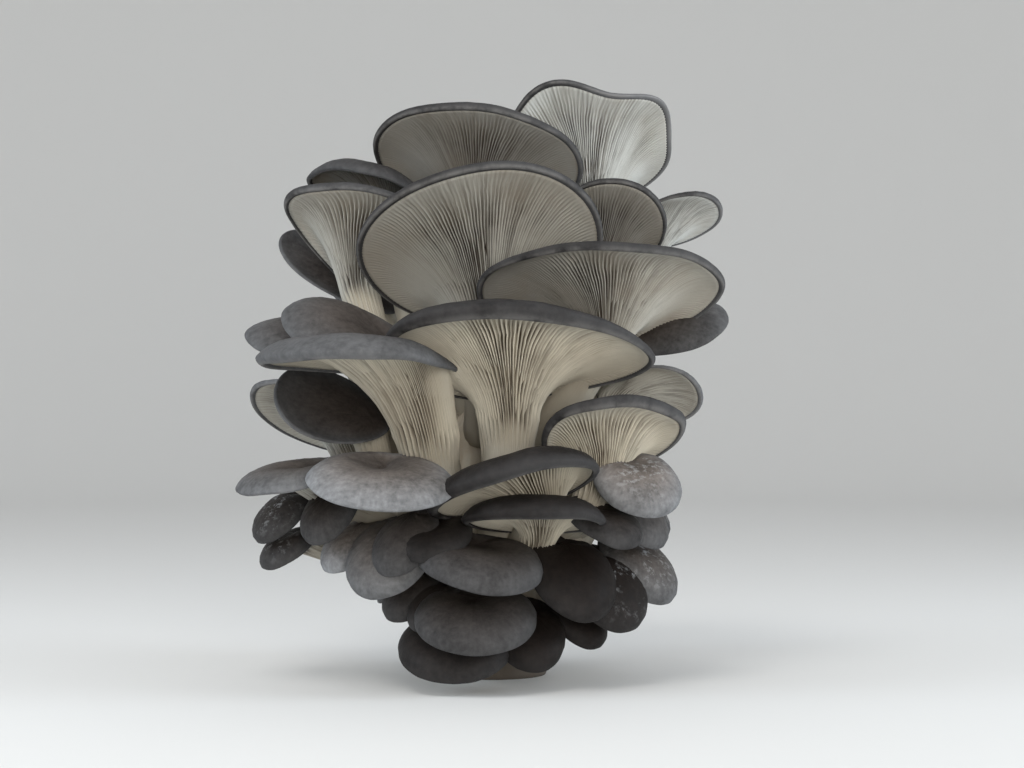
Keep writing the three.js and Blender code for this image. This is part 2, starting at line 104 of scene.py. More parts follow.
# What the mushrooms of one kind share. Lengths in millimetres, angles in degrees.
# turn: heading of the far margin, 0 towards the viewer and 90 to the right. tilt: how far it points up.
# bank: roll about that heading. reach and heel: neck to the far and near margins. width: across the cap.
# rise: margin above the neck. arch: how much higher its sides stand. egg: how much wider its far half is.
# flare: how long the gills follow the stem. curl: how far the margin rolls under.
# edge and thick: the flesh at the margin and over the neck. dome: how soon it fills out, under 1 soon.
# lean: how much thinner the right side of the margin is. domed: whether the cap bulges in its middle.
# slope: how far the stem rises for each millimetre that it stands out.
# wave, waves and wave_phase: the margin's scallops. ruffle and ruffles: how it goes up and down.
# skin and gill: the finishes. bloom: how pale the skin is, partly its own pale coating and partly a
# painted cool sheen. rim: painted light that makes the margin's right side paler.
# dusk: painted shade that darkens the left side of the gills. size: a row of GRIDS.
FAN = dict(
    size="large", bank=0, heel=12, rise=8, arch=0, egg=0.25, curl=30, edge=3.2, lean=0, thick=7,
    dome=1.2, neck_radius=8, root_radius=10, slope=0.95, flare=0.35, wave=0, waves=1, wave_phase=0,
    ruffle=0, ruffles=1, domed=False, skin="plain", bloom=0.3, rim=0.18, gill="grey", dusk=0,
)
SMALL_FAN = dict(
    FAN, size="middle", heel=9, rise=7, egg=0.2, edge=2.4, thick=6, neck_radius=6, root_radius=8,
)
SHELF = dict(
    FAN, size="middle", heel=10, egg=0.1, curl=50, edge=2.4, thick=9, neck_radius=9, root_radius=10,
    slope=0.05,
)
SHINGLE = dict(
    FAN, size="small", heel=8, rise=7, egg=0, curl=60, edge=2.2, thick=10, dome=0.65, neck_radius=6,
    root_radius=6.5, slope=0, domed=True, bloom=0.2, rim=0.05,
)
BUTTON = dict(SHINGLE, heel=6, rise=5, thick=8, neck_radius=4.5, root_radius=5)

# The mushrooms, with the same names and sizes as the CAD nodes
FANS = [
    dict(FAN, name="fan_front_centre", neck=(8, -45, 116), turn=18, tilt=26, reach=60, heel=14,
         width=112, rise=16, egg=0.2, curl=50, edge=7.5, lean=0.6, thick=9, neck_radius=11,
         root_radius=13, ruffle=-9, bloom=0.04, gill="cream"),
    dict(FAN, name="fan_front_left", neck=(-27, -42, 107), turn=-45, tilt=4, bank=-2, reach=77, heel=14,
         width=73, rise=29, egg=0.5, curl=50, edge=5.5, thick=9, neck_radius=12, root_radius=13,
         bloom=0.2, gill="cream"),
    dict(FAN, name="fan_right", neck=(46, -21, 145), turn=16, tilt=35, bank=2, reach=56, heel=13,
         width=111, rise=14, arch=3, egg=0.05, curl=35, edge=4, neck_radius=9, root_radius=11,
         slope=0.3, bloom=0.05, dusk=0.5),
    dict(FAN, name="fan_centre", neck=(-1, -15, 148), turn=-4, tilt=45, bank=-7, reach=84, heel=8,
         width=108, rise=22, egg=0.05, curl=25, edge=3.6, neck_radius=10, root_radius=12, ruffle=4,
         ruffles=2, bloom=0.05, dusk=0.2, rim=0.16),
    dict(FAN, name="fan_top_left", neck=(-8, 10, 201), turn=-4, tilt=40, bank=7, reach=62, width=96,
         rise=15, arch=4, egg=0.05, curl=25, edge=3.6, thick=6, bloom=0.05, gill="umber", dusk=0.15),
    dict(FAN, name="fan_top_right", neck=(43, 25, 203), turn=10, tilt=52, reach=63, heel=6, width=86,
         rise=24, egg=0.1, curl=15, edge=2.2, lean=0.5, thick=5, wave=0.07, waves=5, wave_phase=-130,
         ruffle=-3, ruffles=5, bloom=0.06, gill="pale", rim=0.7),
    dict(SMALL_FAN, name="fan_right_front", neck=(46, -38, 85), turn=32, tilt=36, bank=6, reach=46,
         heel=10, width=62, rise=12, egg=0.3, curl=35, edge=5.5, neck_radius=8, root_radius=9,
         slope=0.5, bloom=0.06, gill="cream"),
    dict(SMALL_FAN, name="fan_left", neck=(-60, 12, 173), turn=-25, tilt=48, reach=54, heel=10,
         width=64, rise=8, arch=10, egg=0.3, curl=35, edge=3.5, neck_radius=7, root_radius=9,
         bloom=0.08, dusk=0.2),
    dict(SHELF, name="fan_right_back", neck=(46, -5, 178), turn=20, tilt=40, bank=18, reach=50,
         width=50, rise=12, curl=20, thick=5, neck_radius=7, root_radius=9, slope=0.95, bloom=0.05,
         gill="umber"),
    dict(SMALL_FAN, name="fan_far_right", neck=(70, 14, 188), turn=62, tilt=25, bank=15, reach=42,
         heel=6, width=46, rise=10, curl=20, thick=5, bloom=0.08, gill="pale", rim=0.5),
    dict(SMALL_FAN, name="fan_left_rolled", neck=(-44, 20, 203), turn=-50, tilt=22, reach=45, heel=10,
         width=62, rise=8, curl=75, bloom=0.1, gill="umber"),
    dict(SMALL_FAN, name="fan_left_spoon", neck=(-53, 34, 167), turn=-104, tilt=33, bank=40, reach=58,
         heel=10, width=31, rise=5, curl=-25, thick=4, bloom=0.12),
    dict(SMALL_FAN, name="fan_left_folded", neck=(-48, -25, 146), turn=-72, tilt=8, bank=35, reach=46,
         heel=10, width=40, curl=60, bloom=0.2),
    dict(SMALL_FAN, name="fan_far_left", neck=(-58, -10, 140), turn=-85, tilt=8, bank=25, reach=52,
         width=38, rise=6, curl=50, bloom=0.2),
    dict(SMALL_FAN, name="fan_right_under", neck=(60, 14, 147), turn=78, tilt=10, bank=-40, reach=50,
         width=34, rise=6, curl=45, thick=7, bloom=0.2),
    dict(SMALL_FAN, name="fan_right_low", neck=(54, -8, 122), turn=75, tilt=0, bank=45, reach=40,
         heel=8, width=36, rise=6, thick=5),
]
SHELVES = [
    dict(SHELF, name="shelf_rolled_upper", neck=(20, -50, 74), turn=-22, tilt=12, bank=-18, reach=46,
         width=70, curl=70, edge=7, thick=8, neck_radius=8, root_radius=9, slope=0.1, bloom=0.015,
         gill="cream"),
    dict(SHELF, name="shelf_rolled_lower", neck=(20, -47, 64), turn=-4, tilt=12, reach=42, heel=6,
         width=56, rise=4, curl=65, edge=6, thick=7, neck_radius=6, root_radius=7, bloom=0.0,
         gill="cream"),
    dict(SHELF, name="shelf_left_front", neck=(-44, -52, 90), turn=-6, tilt=-22, bank=6, reach=46,
         width=62, bloom=0.5),
    dict(SHELF, name="shelf_left", neck=(-72, -35, 88), turn=-50, tilt=-18, reach=38, width=52,
         neck_radius=8, bloom=0.28),
    dict(SMALL_FAN, name="shelf_left_dish", neck=(-53, -37, 113), turn=-75, tilt=15, bank=45, reach=45,
         width=44, rise=5, curl=-20, thick=5, neck_radius=7, root_radius=9, bloom=0.09),
    dict(SMALL_FAN, name="shelf_left_edge", neck=(-62, -14, 100), turn=-74, tilt=28, bank=-25, reach=52,
         width=46, rise=6, curl=35, neck_radius=7, root_radius=9, slope=0.5, bloom=0.2),
]
SHINGLES = [
    dict(SHINGLE, name="shingle_middle_top", neck=(-6, -45, 53), turn=0, tilt=-24, bank=10, reach=40,
         heel=10, width=54, rise=9, neck_radius=7, bloom=0.13),
    dict(SHINGLE, name="shingle_middle", neck=(-6, -45, 30), turn=0, tilt=-30, reach=38, heel=10,
         width=51, rise=9, neck_radius=7, bloom=0.1),
    dict(SHINGLE, name="shingle_bottom_left", neck=(-12, -38, 18), turn=-12, tilt=-30, bank=4, reach=36,
         heel=9, width=48, thick=11, bloom=0.025),
    dict(SHINGLE, name="shingle_bottom_right", neck=(15, -34, 27), turn=8, tilt=-45, reach=32, width=29,
         bloom=0.005),
    dict(SHINGLE, name="shingle_right_inner", neck=(27, -38, 55), turn=28, tilt=-48, reach=38, width=38,
         thick=11, bloom=0.01),
    dict(BUTTON, name="button_right_bottom", neck=(30, -26, 32), turn=40, tilt=-45, reach=26, width=26,
         thick=9, bloom=0.0),
    dict(SHINGLE, name="shingle_right_middle", neck=(40, -26, 50), turn=35, tilt=-50, reach=38,
         width=38, thick=11, skin="frosted", bloom=0.02),
    dict(SHINGLE, name="shingle_right_outer", neck=(53, -10, 54), turn=50, tilt=-45, reach=34, width=38,
         thick=11, skin="frosted", bloom=0.26),
    dict(SHINGLE, name="shingle_right_bright", neck=(54, -34, 90), turn=45, tilt=-38, bank=-15,
         reach=32, heel=6, width=38, thick=11, skin="frosted", bloom=0.5),
    dict(SHINGLE, name="shingle_right_upper", neck=(40, -42, 72), turn=38, tilt=-32, reach=30, width=32,
         thick=7, bloom=0.08),
    dict(SHINGLE, name="shingle_right_back", neck=(50, -16, 76), turn=50, tilt=-42, reach=32, width=34),
    dict(BUTTON, name="button_right_edge", neck=(48, 6, 76), turn=72, tilt=-30, reach=34, width=28,
         thick=9, skin="frosted"),
    dict(SHINGLE, name="shingle_left_inner", neck=(-22, -46, 64), turn=-15, tilt=-26, reach=30,
         width=36, thick=8, bloom=0.03),
    dict(BUTTON, name="button_left_inner", neck=(-29, -46, 69), turn=-25, tilt=-40, reach=34, width=26,
         thick=9, bloom=0.12),
    dict(SHINGLE, name="shingle_left_large", neck=(-35, -38, 63), turn=-25, tilt=-45, reach=38,
         width=38, thick=11, bloom=0.28),
    dict(BUTTON, name="button_left_outer", neck=(-62, -34, 79), turn=-35, tilt=-50, reach=26, heel=7,
         width=25, rise=6, thick=10, bloom=0.1),
    dict(BUTTON, name="button_far_left_upper", neck=(-82, -16, 76), turn=-50, tilt=-45, reach=26,
         heel=7, width=26, rise=6, thick=10, skin="frosted", bloom=0.08),
    dict(BUTTON, name="button_far_left_lower", neck=(-80, -16, 60), turn=-50, tilt=-35, reach=24,
         width=24, skin="frosted", bloom=0.08),
    dict(BUTTON, name="button_left_pale", neck=(-52, -24, 64), turn=-40, tilt=-40, reach=28, width=26,
         bloom=0.5),
    dict(BUTTON, name="button_left_low", neck=(-27, -30, 43), turn=-35, tilt=-42, reach=26, width=24,
         bloom=0.06),
    dict(BUTTON, name="button_left_lowest", neck=(-18, -40, 40), turn=-30, tilt=-42, reach=26, width=20,
         thick=7, root_radius=6, bloom=0.05),
]
BACK = [
    dict(FAN, name="back_fan_left", size="middle", neck=(-36, 46, 152), turn=-156, tilt=38, reach=56,
         width=72, egg=0.2, edge=2.4, thick=6),
    dict(FAN, name="back_fan_right", size="middle", neck=(34, 46, 148), turn=150, tilt=36, reach=54,
         width=68, egg=0.2, edge=2.4, thick=6),
    dict(FAN, name="back_fan_middle", size="middle", neck=(-2, 50, 108), turn=180, tilt=26, reach=46,
         heel=10, width=64, egg=0.2, curl=40, edge=2.4),
    dict(SHINGLE, name="back_cap_left", neck=(-40, 30, 74), turn=-140, tilt=-5, reach=36, width=44),
    dict(SHINGLE, name="back_cap_right", neck=(38, 32, 70), turn=140, tilt=-8, reach=36, width=42),
    dict(SHINGLE, name="back_cap_low", neck=(0, 38, 38), turn=180, tilt=-15, reach=34, width=46),
    dict(SHINGLE, name="back_button_left", neck=(-28, 20, 30), turn=-115, tilt=-14, reach=24, heel=7,
         width=28, rise=6, thick=9, root_radius=8),
    dict(SHINGLE, name="back_button_right", neck=(36, 16, 26), turn=108, tilt=-14, reach=28, heel=7,
         width=32, rise=6, thick=9, root_radius=8),
]

# How finely each size is divided, and how high its gills stand in millimetres
GRIDS = {
    "large": dict(gills=152, stem_rows=6, gill_rows=23, cap_columns=160, cap_rows=20, height=2.6),
    "middle": dict(gills=92, stem_rows=5, gill_rows=16, cap_columns=108, cap_rows=14, height=2.0),
    "small": dict(gills=28, stem_rows=3, gill_rows=8, cap_columns=80, cap_rows=14, height=1.0),
}
LIP_ROWS = 5
UNDER_ROWS = 3  # of the skin, from where it turns under to the margin
GILL_END = 0.99  # share of the gill side where its last row lies
GILL_CROWDING = 0.9  # under 1, so that its rows crowd towards the margin
TOP_END = 0.97  # share of the way from the margin to the navel where the skin's last row lies
TOP_CROWDING = 1.1  # over 1, so that its rows crowd towards the margin
# Rows of the hidden surface in the flesh, and how deep they lie: 0 is the gill side, 1 the skin
INNER_SHARES = np.array([0.9, 0.76, 0.6, 0.3])
INNER_LEVELS = np.array([0.7, 0.75, 0.75, 0.5])
SHELL_GAP = 0.04  # share of the flesh left between the two shells
# One gill's columns: their places in the pitch, and how much of the gill's height each has
BLADE_PLACES = np.array([0.0, 0.4, 0.6, 0.8])
BLADE_HEIGHTS = np.array([0.0, 0.0, 1.0, 1.0])
GILL_RANKS = np.array([0, 2, 1, 2])  # 0 runs the whole way, 2 is shortest


# Small vector helpers

def unit(vectors):
    length = np.linalg.norm(vectors, axis=-1, keepdims=True)
    return vectors / np.maximum(length, 1e-9)


def across_of(vectors, axis):
    """The part of each vector that is square to the axis."""
    return vectors - (vectors @ axis)[..., None] * axis


def smooth_step(values, low, high):
    share = np.clip((values - low) / (high - low), 0, 1)
    return share * share * (3 - 2 * share)


# The shape of one mushroom

class Shape:
    """The surfaces of one mushroom. A share runs from the neck at 0 to the margin at 1.

    Angles go round the stem: 0 points out to the far margin, and a quarter turn to the side.
    """

    def __init__(self, row, seed):
        vars(self).update(row)
        self.neck = np.array(row["neck"], float)
        turn, tilt, bank = (math.radians(row[key]) for key in ("turn", "tilt", "bank"))
        self.out = np.array([
            math.sin(turn) * math.cos(tilt), -math.cos(turn) * math.cos(tilt), math.sin(tilt),
        ])
        level = unit(across_of(np.array([0.0, 0.0, 1.0]), self.out))
        across = np.cross(level, self.out)
        self.up = level * math.cos(bank) + across * math.sin(bank)
        self.side = across * math.cos(bank) - level * math.sin(bank)
        self.root = self.root_point()
        rising = self.neck - self.root
        self.stem_end = unit((1 - CAP_PULL) * unit(rising) + CAP_PULL * self.up)
        self.stem_bend = self.neck - STEM_BEND * np.linalg.norm(rising) * self.stem_end
        self.middle = self.neck + MIDDLE_SHIFT * (self.reach - self.heel) / 2 * self.out
        draw = np.random.default_rng(seed)
        self.lobe_lift = draw.normal(0, LOBE_LIFT * self.width, LOBES.size) / np.sqrt(LOBES)
        self.lobe_phase = draw.uniform(0, 2 * math.pi, LOBES.size)

    def root_point(self):
        away = self.neck[:2] - BUTT_MIDDLE
        distance = max(np.hypot(*away), 1)
        height = np.clip(self.neck[2] - STEM_RISE - self.slope * distance, LOWEST_ROOT, HIGHEST_ROOT)
        share = min(ROOT_DEPTH * butt_radius(height) / distance, ROOT_REACH)
        return np.array([*(BUTT_MIDDLE + away * share), height])

    def around(self, centres, alongs, radii, angles):
        """Circles of the radii round the centres, square to the alongs: rows by angles by 3."""
        side = unit(self.side - (alongs @ self.side)[:, None] * alongs)
        front = np.cross(side, alongs)
        radii = np.asarray(radii)[:, None, None]
        sines = np.sin(angles)[None, :, None]
        cosines = np.cos(angles)[None, :, None]
        return centres[:, None] + radii * (side[:, None] * sines + front[:, None] * cosines)

    def stem_rings(self, shares, angles):
        share = shares[:, None]
        rest = 1 - share
        centres = rest ** 2 * self.root + 2 * share * rest * self.stem_bend + share ** 2 * self.neck
        alongs = unit(-rest * self.root + (rest - share) * self.stem_bend + share * self.neck)
        radii = self.root_radius + (self.neck_radius - self.root_radius) * shares ** STEM_TAPER
        return self.around(centres, alongs, radii, angles)

    def margin(self, angles):
        """The line of the margin, with a little unevenness of its own."""
        sine, cosine = np.sin(angles), np.cos(angles)
        front = 0.5 + 0.5 * cosine
        ripple = 1 + self.wave * np.sin(self.waves * angles + math.radians(self.wave_phase)) * front
        half_width = self.width / 2 - MARGIN_INSET
        half_reach = (self.reach + self.heel) / 2 - MARGIN_INSET
        across = half_width * sine * (1 + self.egg * cosine) * ripple
        along = (self.reach - self.heel) / 2 + half_reach * cosine * ripple
        lift = self.rise + self.arch * sine ** 2 + self.ruffle * np.sin(self.ruffles * angles) * front
        lift = lift + np.sin(angles[:, None] * LOBES + self.lobe_phase) @ self.lobe_lift * front
        return (
            self.neck
            + across[:, None] * self.side
            + along[:, None] * self.out
            + lift[:, None] * self.up
        )

    def gill_side(self, shares, angles):
        """The smooth surface that the gills stand on."""
        start = self.around(self.neck[None], self.stem_end[None], [self.neck_radius], angles)[0]
        end = self.margin(angles)
        span = np.linalg.norm(end - start, axis=1, keepdims=True)
        radial = unit(across_of(end - self.middle, self.up))
        curl = math.radians(self.curl)
        arrive = math.cos(curl) * radial - math.sin(curl) * self.up
        bend = start + self.flare * span * self.stem_end
        roll = end - ROLL_START * span * arrive
        share = np.asarray(shares)[:, None, None]
        rest = 1 - share
        near = rest ** 3 * start + 3 * share * rest ** 2 * bend
        far = 3 * share ** 2 * rest * roll + share ** 3 * end
        return near + far

    def flesh(self, shares, angles):
        """Unit directions from the gill side into the flesh, and the room that the flesh has."""
        step = 0.02
        along = (
            self.gill_side(np.minimum(shares + step, 1), angles)
            - self.gill_side(np.maximum(shares - step, 0), angles)
        )
        around = self.gill_side(shares, angles + step) - self.gill_side(shares, angles - step)
        ends = self.gill_side(np.array([0.0, 1.0]), angles)
        span = np.linalg.norm(ends[1] - ends[0], axis=1)
        room = np.clip(span / (FULL_ROOM * self.reach), THINNEST_SHARE, 1)
        return unit(np.cross(along, around)), room

    def navel(self):
        angles = np.linspace(0, 2 * math.pi, NAVEL_SAMPLES, endpoint=False)
        middle = self.gill_side(np.array([NAVEL_START]), angles)[0].mean(axis=0)
        return middle + self.up * (self.thick if self.domed else NAVEL_LIFT)

    def top_side(self, shares, angles):
        """The outside of the skin, closing towards the navel."""
        normal, room = self.flesh(shares, angles)
        front = 0.5 + 0.5 * np.cos(angles)
        edge = self.edge * (EDGE_AT_HEEL + (1 - EDGE_AT_HEEL) * front ** EDGE_PEAK)
        edge = edge * (1 - self.lean * np.maximum(np.sin(angles), 0))
        depth = edge + (self.thick - edge) * (1 - shares[:, None]) ** self.dome * room
        steady = np.clip(shares / STEADY_SHARE, 0, 1)[:, None, None]
        direction = unit(self.up * (1 - steady) + normal * steady)
        outside = self.gill_side(shares, angles) + direction * depth[..., None]
        opening = np.clip((shares - NAVEL_START) / (1 - NAVEL_START), 0, 1)
        spread = (opening * (2 - opening)) ** SPREAD_POWER
        navel = self.navel()
        return navel + (outside - navel) * spread[:, None, None]

    def inside(self, angles, shift):
        """The hidden surface in the flesh, moved by a share of the flesh towards the skin."""
        low = self.gill_side(INNER_SHARES, angles)
        levels = (INNER_LEVELS + shift)[:, None, None]
        return low + (self.top_side(INNER_SHARES, angles) - low) * levels

    def lip(self, angles, rows):
        """The rounded edge between the gill side and the skin."""
        edge = np.array([1.0])
        under = self.gill_side(edge, angles)[0]
        over = self.top_side(edge, angles)[0]
        outward = unit(under - self.gill_side(np.array([LIP_APPROACH]), angles)[0])
        half = (over - under) / 2
        bulge = np.linalg.norm(half, axis=1, keepdims=True) * NOSE_ROUNDNESS
        turns = np.linspace(-math.pi / 2, math.pi / 2, rows + 2)[1:-1]
        rings = [(under + over) / 2 + half * math.sin(t) + outward * bulge * math.cos(t) for t in turns]
        return np.array(rings)


def butt_radius(height):
    heights, radii = zip(*BUTT_PROFILE)
    return float(np.interp(height, heights, radii))


# Meshes from rings

def ring_mesh(name, rings, first_pole, last_pole, fields):
    """A closed mesh object of rings with a pole at each end. fields hold a value for each point."""
    rows, columns = rings.shape[:2]
    points = np.concatenate([rings.reshape(-1, 3), [first_pole, last_pole]]) * MM
    column = np.arange(columns)
    after = (column + 1) % columns
    base = (np.arange(rows - 1) * columns)[:, None]
    quads = np.stack([
        base + column, base + after, base + columns + after, base + columns + column,
    ], axis=-1).reshape(-1, 4)
    last = (rows - 1) * columns
    first_fan = np.stack([np.full(columns, rows * columns), after, column], axis=-1)
    last_fan = np.stack([np.full(columns, rows * columns + 1), last + column, last + after], axis=-1)
    mesh = bpy.data.meshes.new(name)
    mesh.from_pydata(points, [], quads.tolist() + first_fan.tolist() + last_fan.tolist())
    for key, values in fields.items():
        values = np.asarray(values, dtype=np.float32)
        kind = "FLOAT" if values.ndim == 1 else "FLOAT_VECTOR"
        attribute = mesh.attributes.new(key, kind, "POINT")
        attribute.data.foreach_set("value" if kind == "FLOAT" else "vector", values.ravel())
    mesh.shade_smooth()
    piece = bpy.data.objects.new(name, mesh)
    bpy.context.scene.collection.objects.link(piece)
    return piece


def cap_piece(shape, grid, seed):
    """The dark cap: its skin, its rounded margin, and the hidden surface under them."""
    angles = np.linspace(0, 2 * math.pi, grid["cap_columns"], endpoint=False)
    inner_shares = INNER_SHARES[::-1]
    inner = shape.inside(angles, SHELL_GAP)[::-1]
    under_shares = np.linspace(SKIN_TURNS_UNDER, 1, UNDER_ROWS)
    under = shape.gill_side(under_shares, angles)
    lip = shape.lip(angles, LIP_ROWS)
    top_shares = 1 - (1 - NAVEL_START) * np.linspace(0, TOP_END, grid["cap_rows"]) ** TOP_CROWDING
    top = shape.top_side(top_shares, angles)
    rings = np.concatenate([inner, under, lip, top])
    shares = np.concatenate([inner_shares, under_shares, np.full(LIP_ROWS, 1.0), top_shares])
    # How far each row has turned from the gill side over the lip: 0 under, 1 on top
    over = np.concatenate([
        np.zeros(len(inner) + len(under)), np.linspace(0, 1, LIP_ROWS + 2)[1:-1], np.ones(len(top)),
    ])
    columns = len(angles)
    navel = shape.navel()
    inner_pole = inner[0].mean(axis=0)
    # Painted light that makes the margin paler towards its right side
    rim = shape.rim * smooth_step(np.sin(angles), -0.7, 0.9)  # grows towards the right side
    fields = {
        "share": np.append(np.repeat(shares, columns), [0, 0]),
        "over": np.append(np.repeat(over, columns), [0, 1]),
        # How pale each cap is: partly the skin's own pale coating, partly a painted cool sheen
        "bloom": np.full(rings.shape[0] * columns + 2, shape.bloom),
        "rim": np.append(np.tile(rim, len(rings)), [0, 0]),
        "fibre": fibre_places(shares, angles, seed),
    }
    return ring_mesh(shape.name + "_cap", rings, inner_pole, navel, fields)


def fibre_places(shares, angles, seed):
    """Coordinates that run round and along the surface without a seam, for fibres and streaks."""
    around = np.stack([np.cos(angles), np.sin(angles)], axis=-1)
    flat = np.broadcast_to(around, (len(shares), len(angles), 2))
    along = np.broadcast_to(shares[:, None, None], (len(shares), len(angles), 1))
    places = np.concatenate([flat, along], axis=-1).reshape(-1, 3)
    poles = np.array([[0.0, 0.0, 0.0], [0.0, 0.0, 0.0]])
    return np.concatenate([places, poles]) + [0, 0, seed * 3.0]


def gill_piece(shape, grid, seed):
    """The pale side: stem and gills, with the hidden surface over them. The gills are raised later."""
    gills = grid["gills"]
    order = np.arange(gills)
    places = (order[:, None] + BLADE_PLACES).ravel() / gills
    angles = places * 2 * math.pi
    columns = len(angles)
    stem_shares = np.linspace(0, 1, grid["stem_rows"] + 1)[:-1]
    stem = shape.stem_rings(stem_shares, angles)
    shares = np.linspace(0, 1, grid["gill_rows"]) ** GILL_CROWDING * GILL_END
    outer = shape.gill_side(shares, angles)
    normal, room = shape.flesh(shares, angles)
    tucked = smooth_step(shares, TUCK_START, SKIN_TURNS_UNDER)[:, None, None] * TUCK
    outer = outer + normal * tucked
    inner = shape.inside(angles, -SHELL_GAP)
    rings = np.concatenate([stem, outer, inner])
    along = np.concatenate([stem_shares - 1, shares, np.ones(len(INNER_SHARES))])
    blade = np.tile(BLADE_HEIGHTS, gills)
    rank = np.repeat(GILL_RANKS[order % len(GILL_RANKS)], len(BLADE_PLACES))
    exposed = np.concatenate([np.ones(len(stem) + len(outer)), np.zeros(len(inner))])
    sideways = np.roll(rings, -1, axis=1) - np.roll(rings, 1, axis=1)
    pitch = np.linalg.norm(sideways, axis=-1, keepdims=True) * 2
    # Painted shade on the left side of the gills
    dusk = shape.dusk * smooth_step(-np.sin(angles), -0.3, 1)  # grows towards the left side
    fields = {
        "along": np.append(np.repeat(along, columns), [-1, 1]),
        "blade": np.append(np.outer(exposed, blade).ravel(), [0, 0]),
        "rank": np.append(np.tile(rank, len(rings)), [0, 0]),
        "room": np.append(np.tile(room, len(rings)), [0, 0]),
        "front": np.append(np.tile(0.5 + 0.5 * np.cos(angles), len(rings)), [0, 0]),
        "dusk": np.append(np.tile(dusk, len(rings)), [0, 0]),
        "wander": np.concatenate([(unit(sideways) * pitch * MM).reshape(-1, 3), np.zeros((2, 3))]),
        "fibre": fibre_places(along, angles, seed),
    }
    return ring_mesh(shape.name + "_gills", rings, shape.root, inner[-1].mean(axis=0), fields)


# Node trees written as expressions

class Wire:
    """An output socket that adds Math nodes to its tree when it is used in an expression."""

    def __init__(self, board, socket):
        self.board = board
        self.socket = socket

    def math(self, operation, *values):
        return self.board.node("ShaderNodeMath", dict(operation=operation), *values)

    def __add__(self, other):
        return self.math("ADD", self, other)

    def __sub__(self, other):
        return self.math("SUBTRACT", self, other)

    def __rsub__(self, other):
        return self.math("SUBTRACT", other, self)

    def __mul__(self, other):
        return self.math("MULTIPLY", self, other)

    def __truediv__(self, other):
        return self.math("DIVIDE", self, other)

    __radd__ = __add__
    __rmul__ = __mul__

    def ramp(self, low, high):
        """0 below low and 1 above high, with a smooth way between. low may be the larger."""
        return self.board.node(
            "ShaderNodeMapRange", dict(interpolation_type="SMOOTHSTEP"), Value=self, **{
                "From Min": min(low, high), "From Max": max(low, high),
                "To Min": 0.0 if low < high else 1.0, "To Max": 1.0 if low < high else 0.0,
            },
        )


class Board:
    """A node tree to which nodes are added by their type, settings and inputs."""

    def __init__(self, tree):
        self.tree = tree

    def node(self, kind, settings=None, *values, output=0, **named):
        """Adds a node and gives its output. values fill the inputs in order, named ones by name."""
        node = self.tree.nodes.new(kind)
        for key, value in (settings or {}).items():
            setattr(node, key, value)
        for place, value in enumerate(values):
            self.plug(node.inputs[place], value)
        for name, value in named.items():
            self.plug(next(s for s in node.inputs if s.name == name and s.enabled), value)
        outputs = [socket for socket in node.outputs if socket.enabled]
        if isinstance(output, str):
            return Wire(self, next(s for s in outputs if s.name == output))
        return Wire(self, outputs[output])

    def plug(self, socket, value):
        if isinstance(value, Wire):
            self.tree.links.new(value.socket, socket)
        else:
            socket.default_value = value


class Paint(Board):
    """A material's tree, with the few patterns that the finishes use."""

    def __init__(self, name):
        self.material = bpy.data.materials.new(name)
        self.material.use_nodes = True
        super().__init__(self.material.node_tree)
        self.surface = self.tree.nodes["Principled BSDF"]
        self.places = self.node("ShaderNodeTexCoord", output="Object")

    def field(self, name, output="Fac"):
        return self.node("ShaderNodeAttribute", dict(attribute_name=name), output=output)

    def noise(self, scale, detail=3.0, roughness=0.5, places=None):
        return self.node(
            "ShaderNodeTexNoise", None, output="Fac", Vector=places or self.places,
            Scale=scale, Detail=detail, Roughness=roughness,
        )

    def stretched(self, places, factors):
        return self.node("ShaderNodeMapping", dict(vector_type="POINT"), Vector=places, Scale=factors)

    def mix(self, share, first, second):
        """A colour between two colours. Each may be a wire or three numbers."""
        first, second = (c if isinstance(c, Wire) else (*c, 1.0) for c in (first, second))
        return self.node("ShaderNodeMix", dict(data_type="RGBA"), Factor=share, A=first, B=second)

    def bump(self, height, distance, strength):
        return self.node(
            "ShaderNodeBump", None, output="Normal", Height=height, Distance=distance, Strength=strength,
        )

    def finish(self, **inputs):
        for name, value in inputs.items():
            self.plug(self.surface.inputs[name.replace("_", " ")], value)
        return self.material


# Finishes

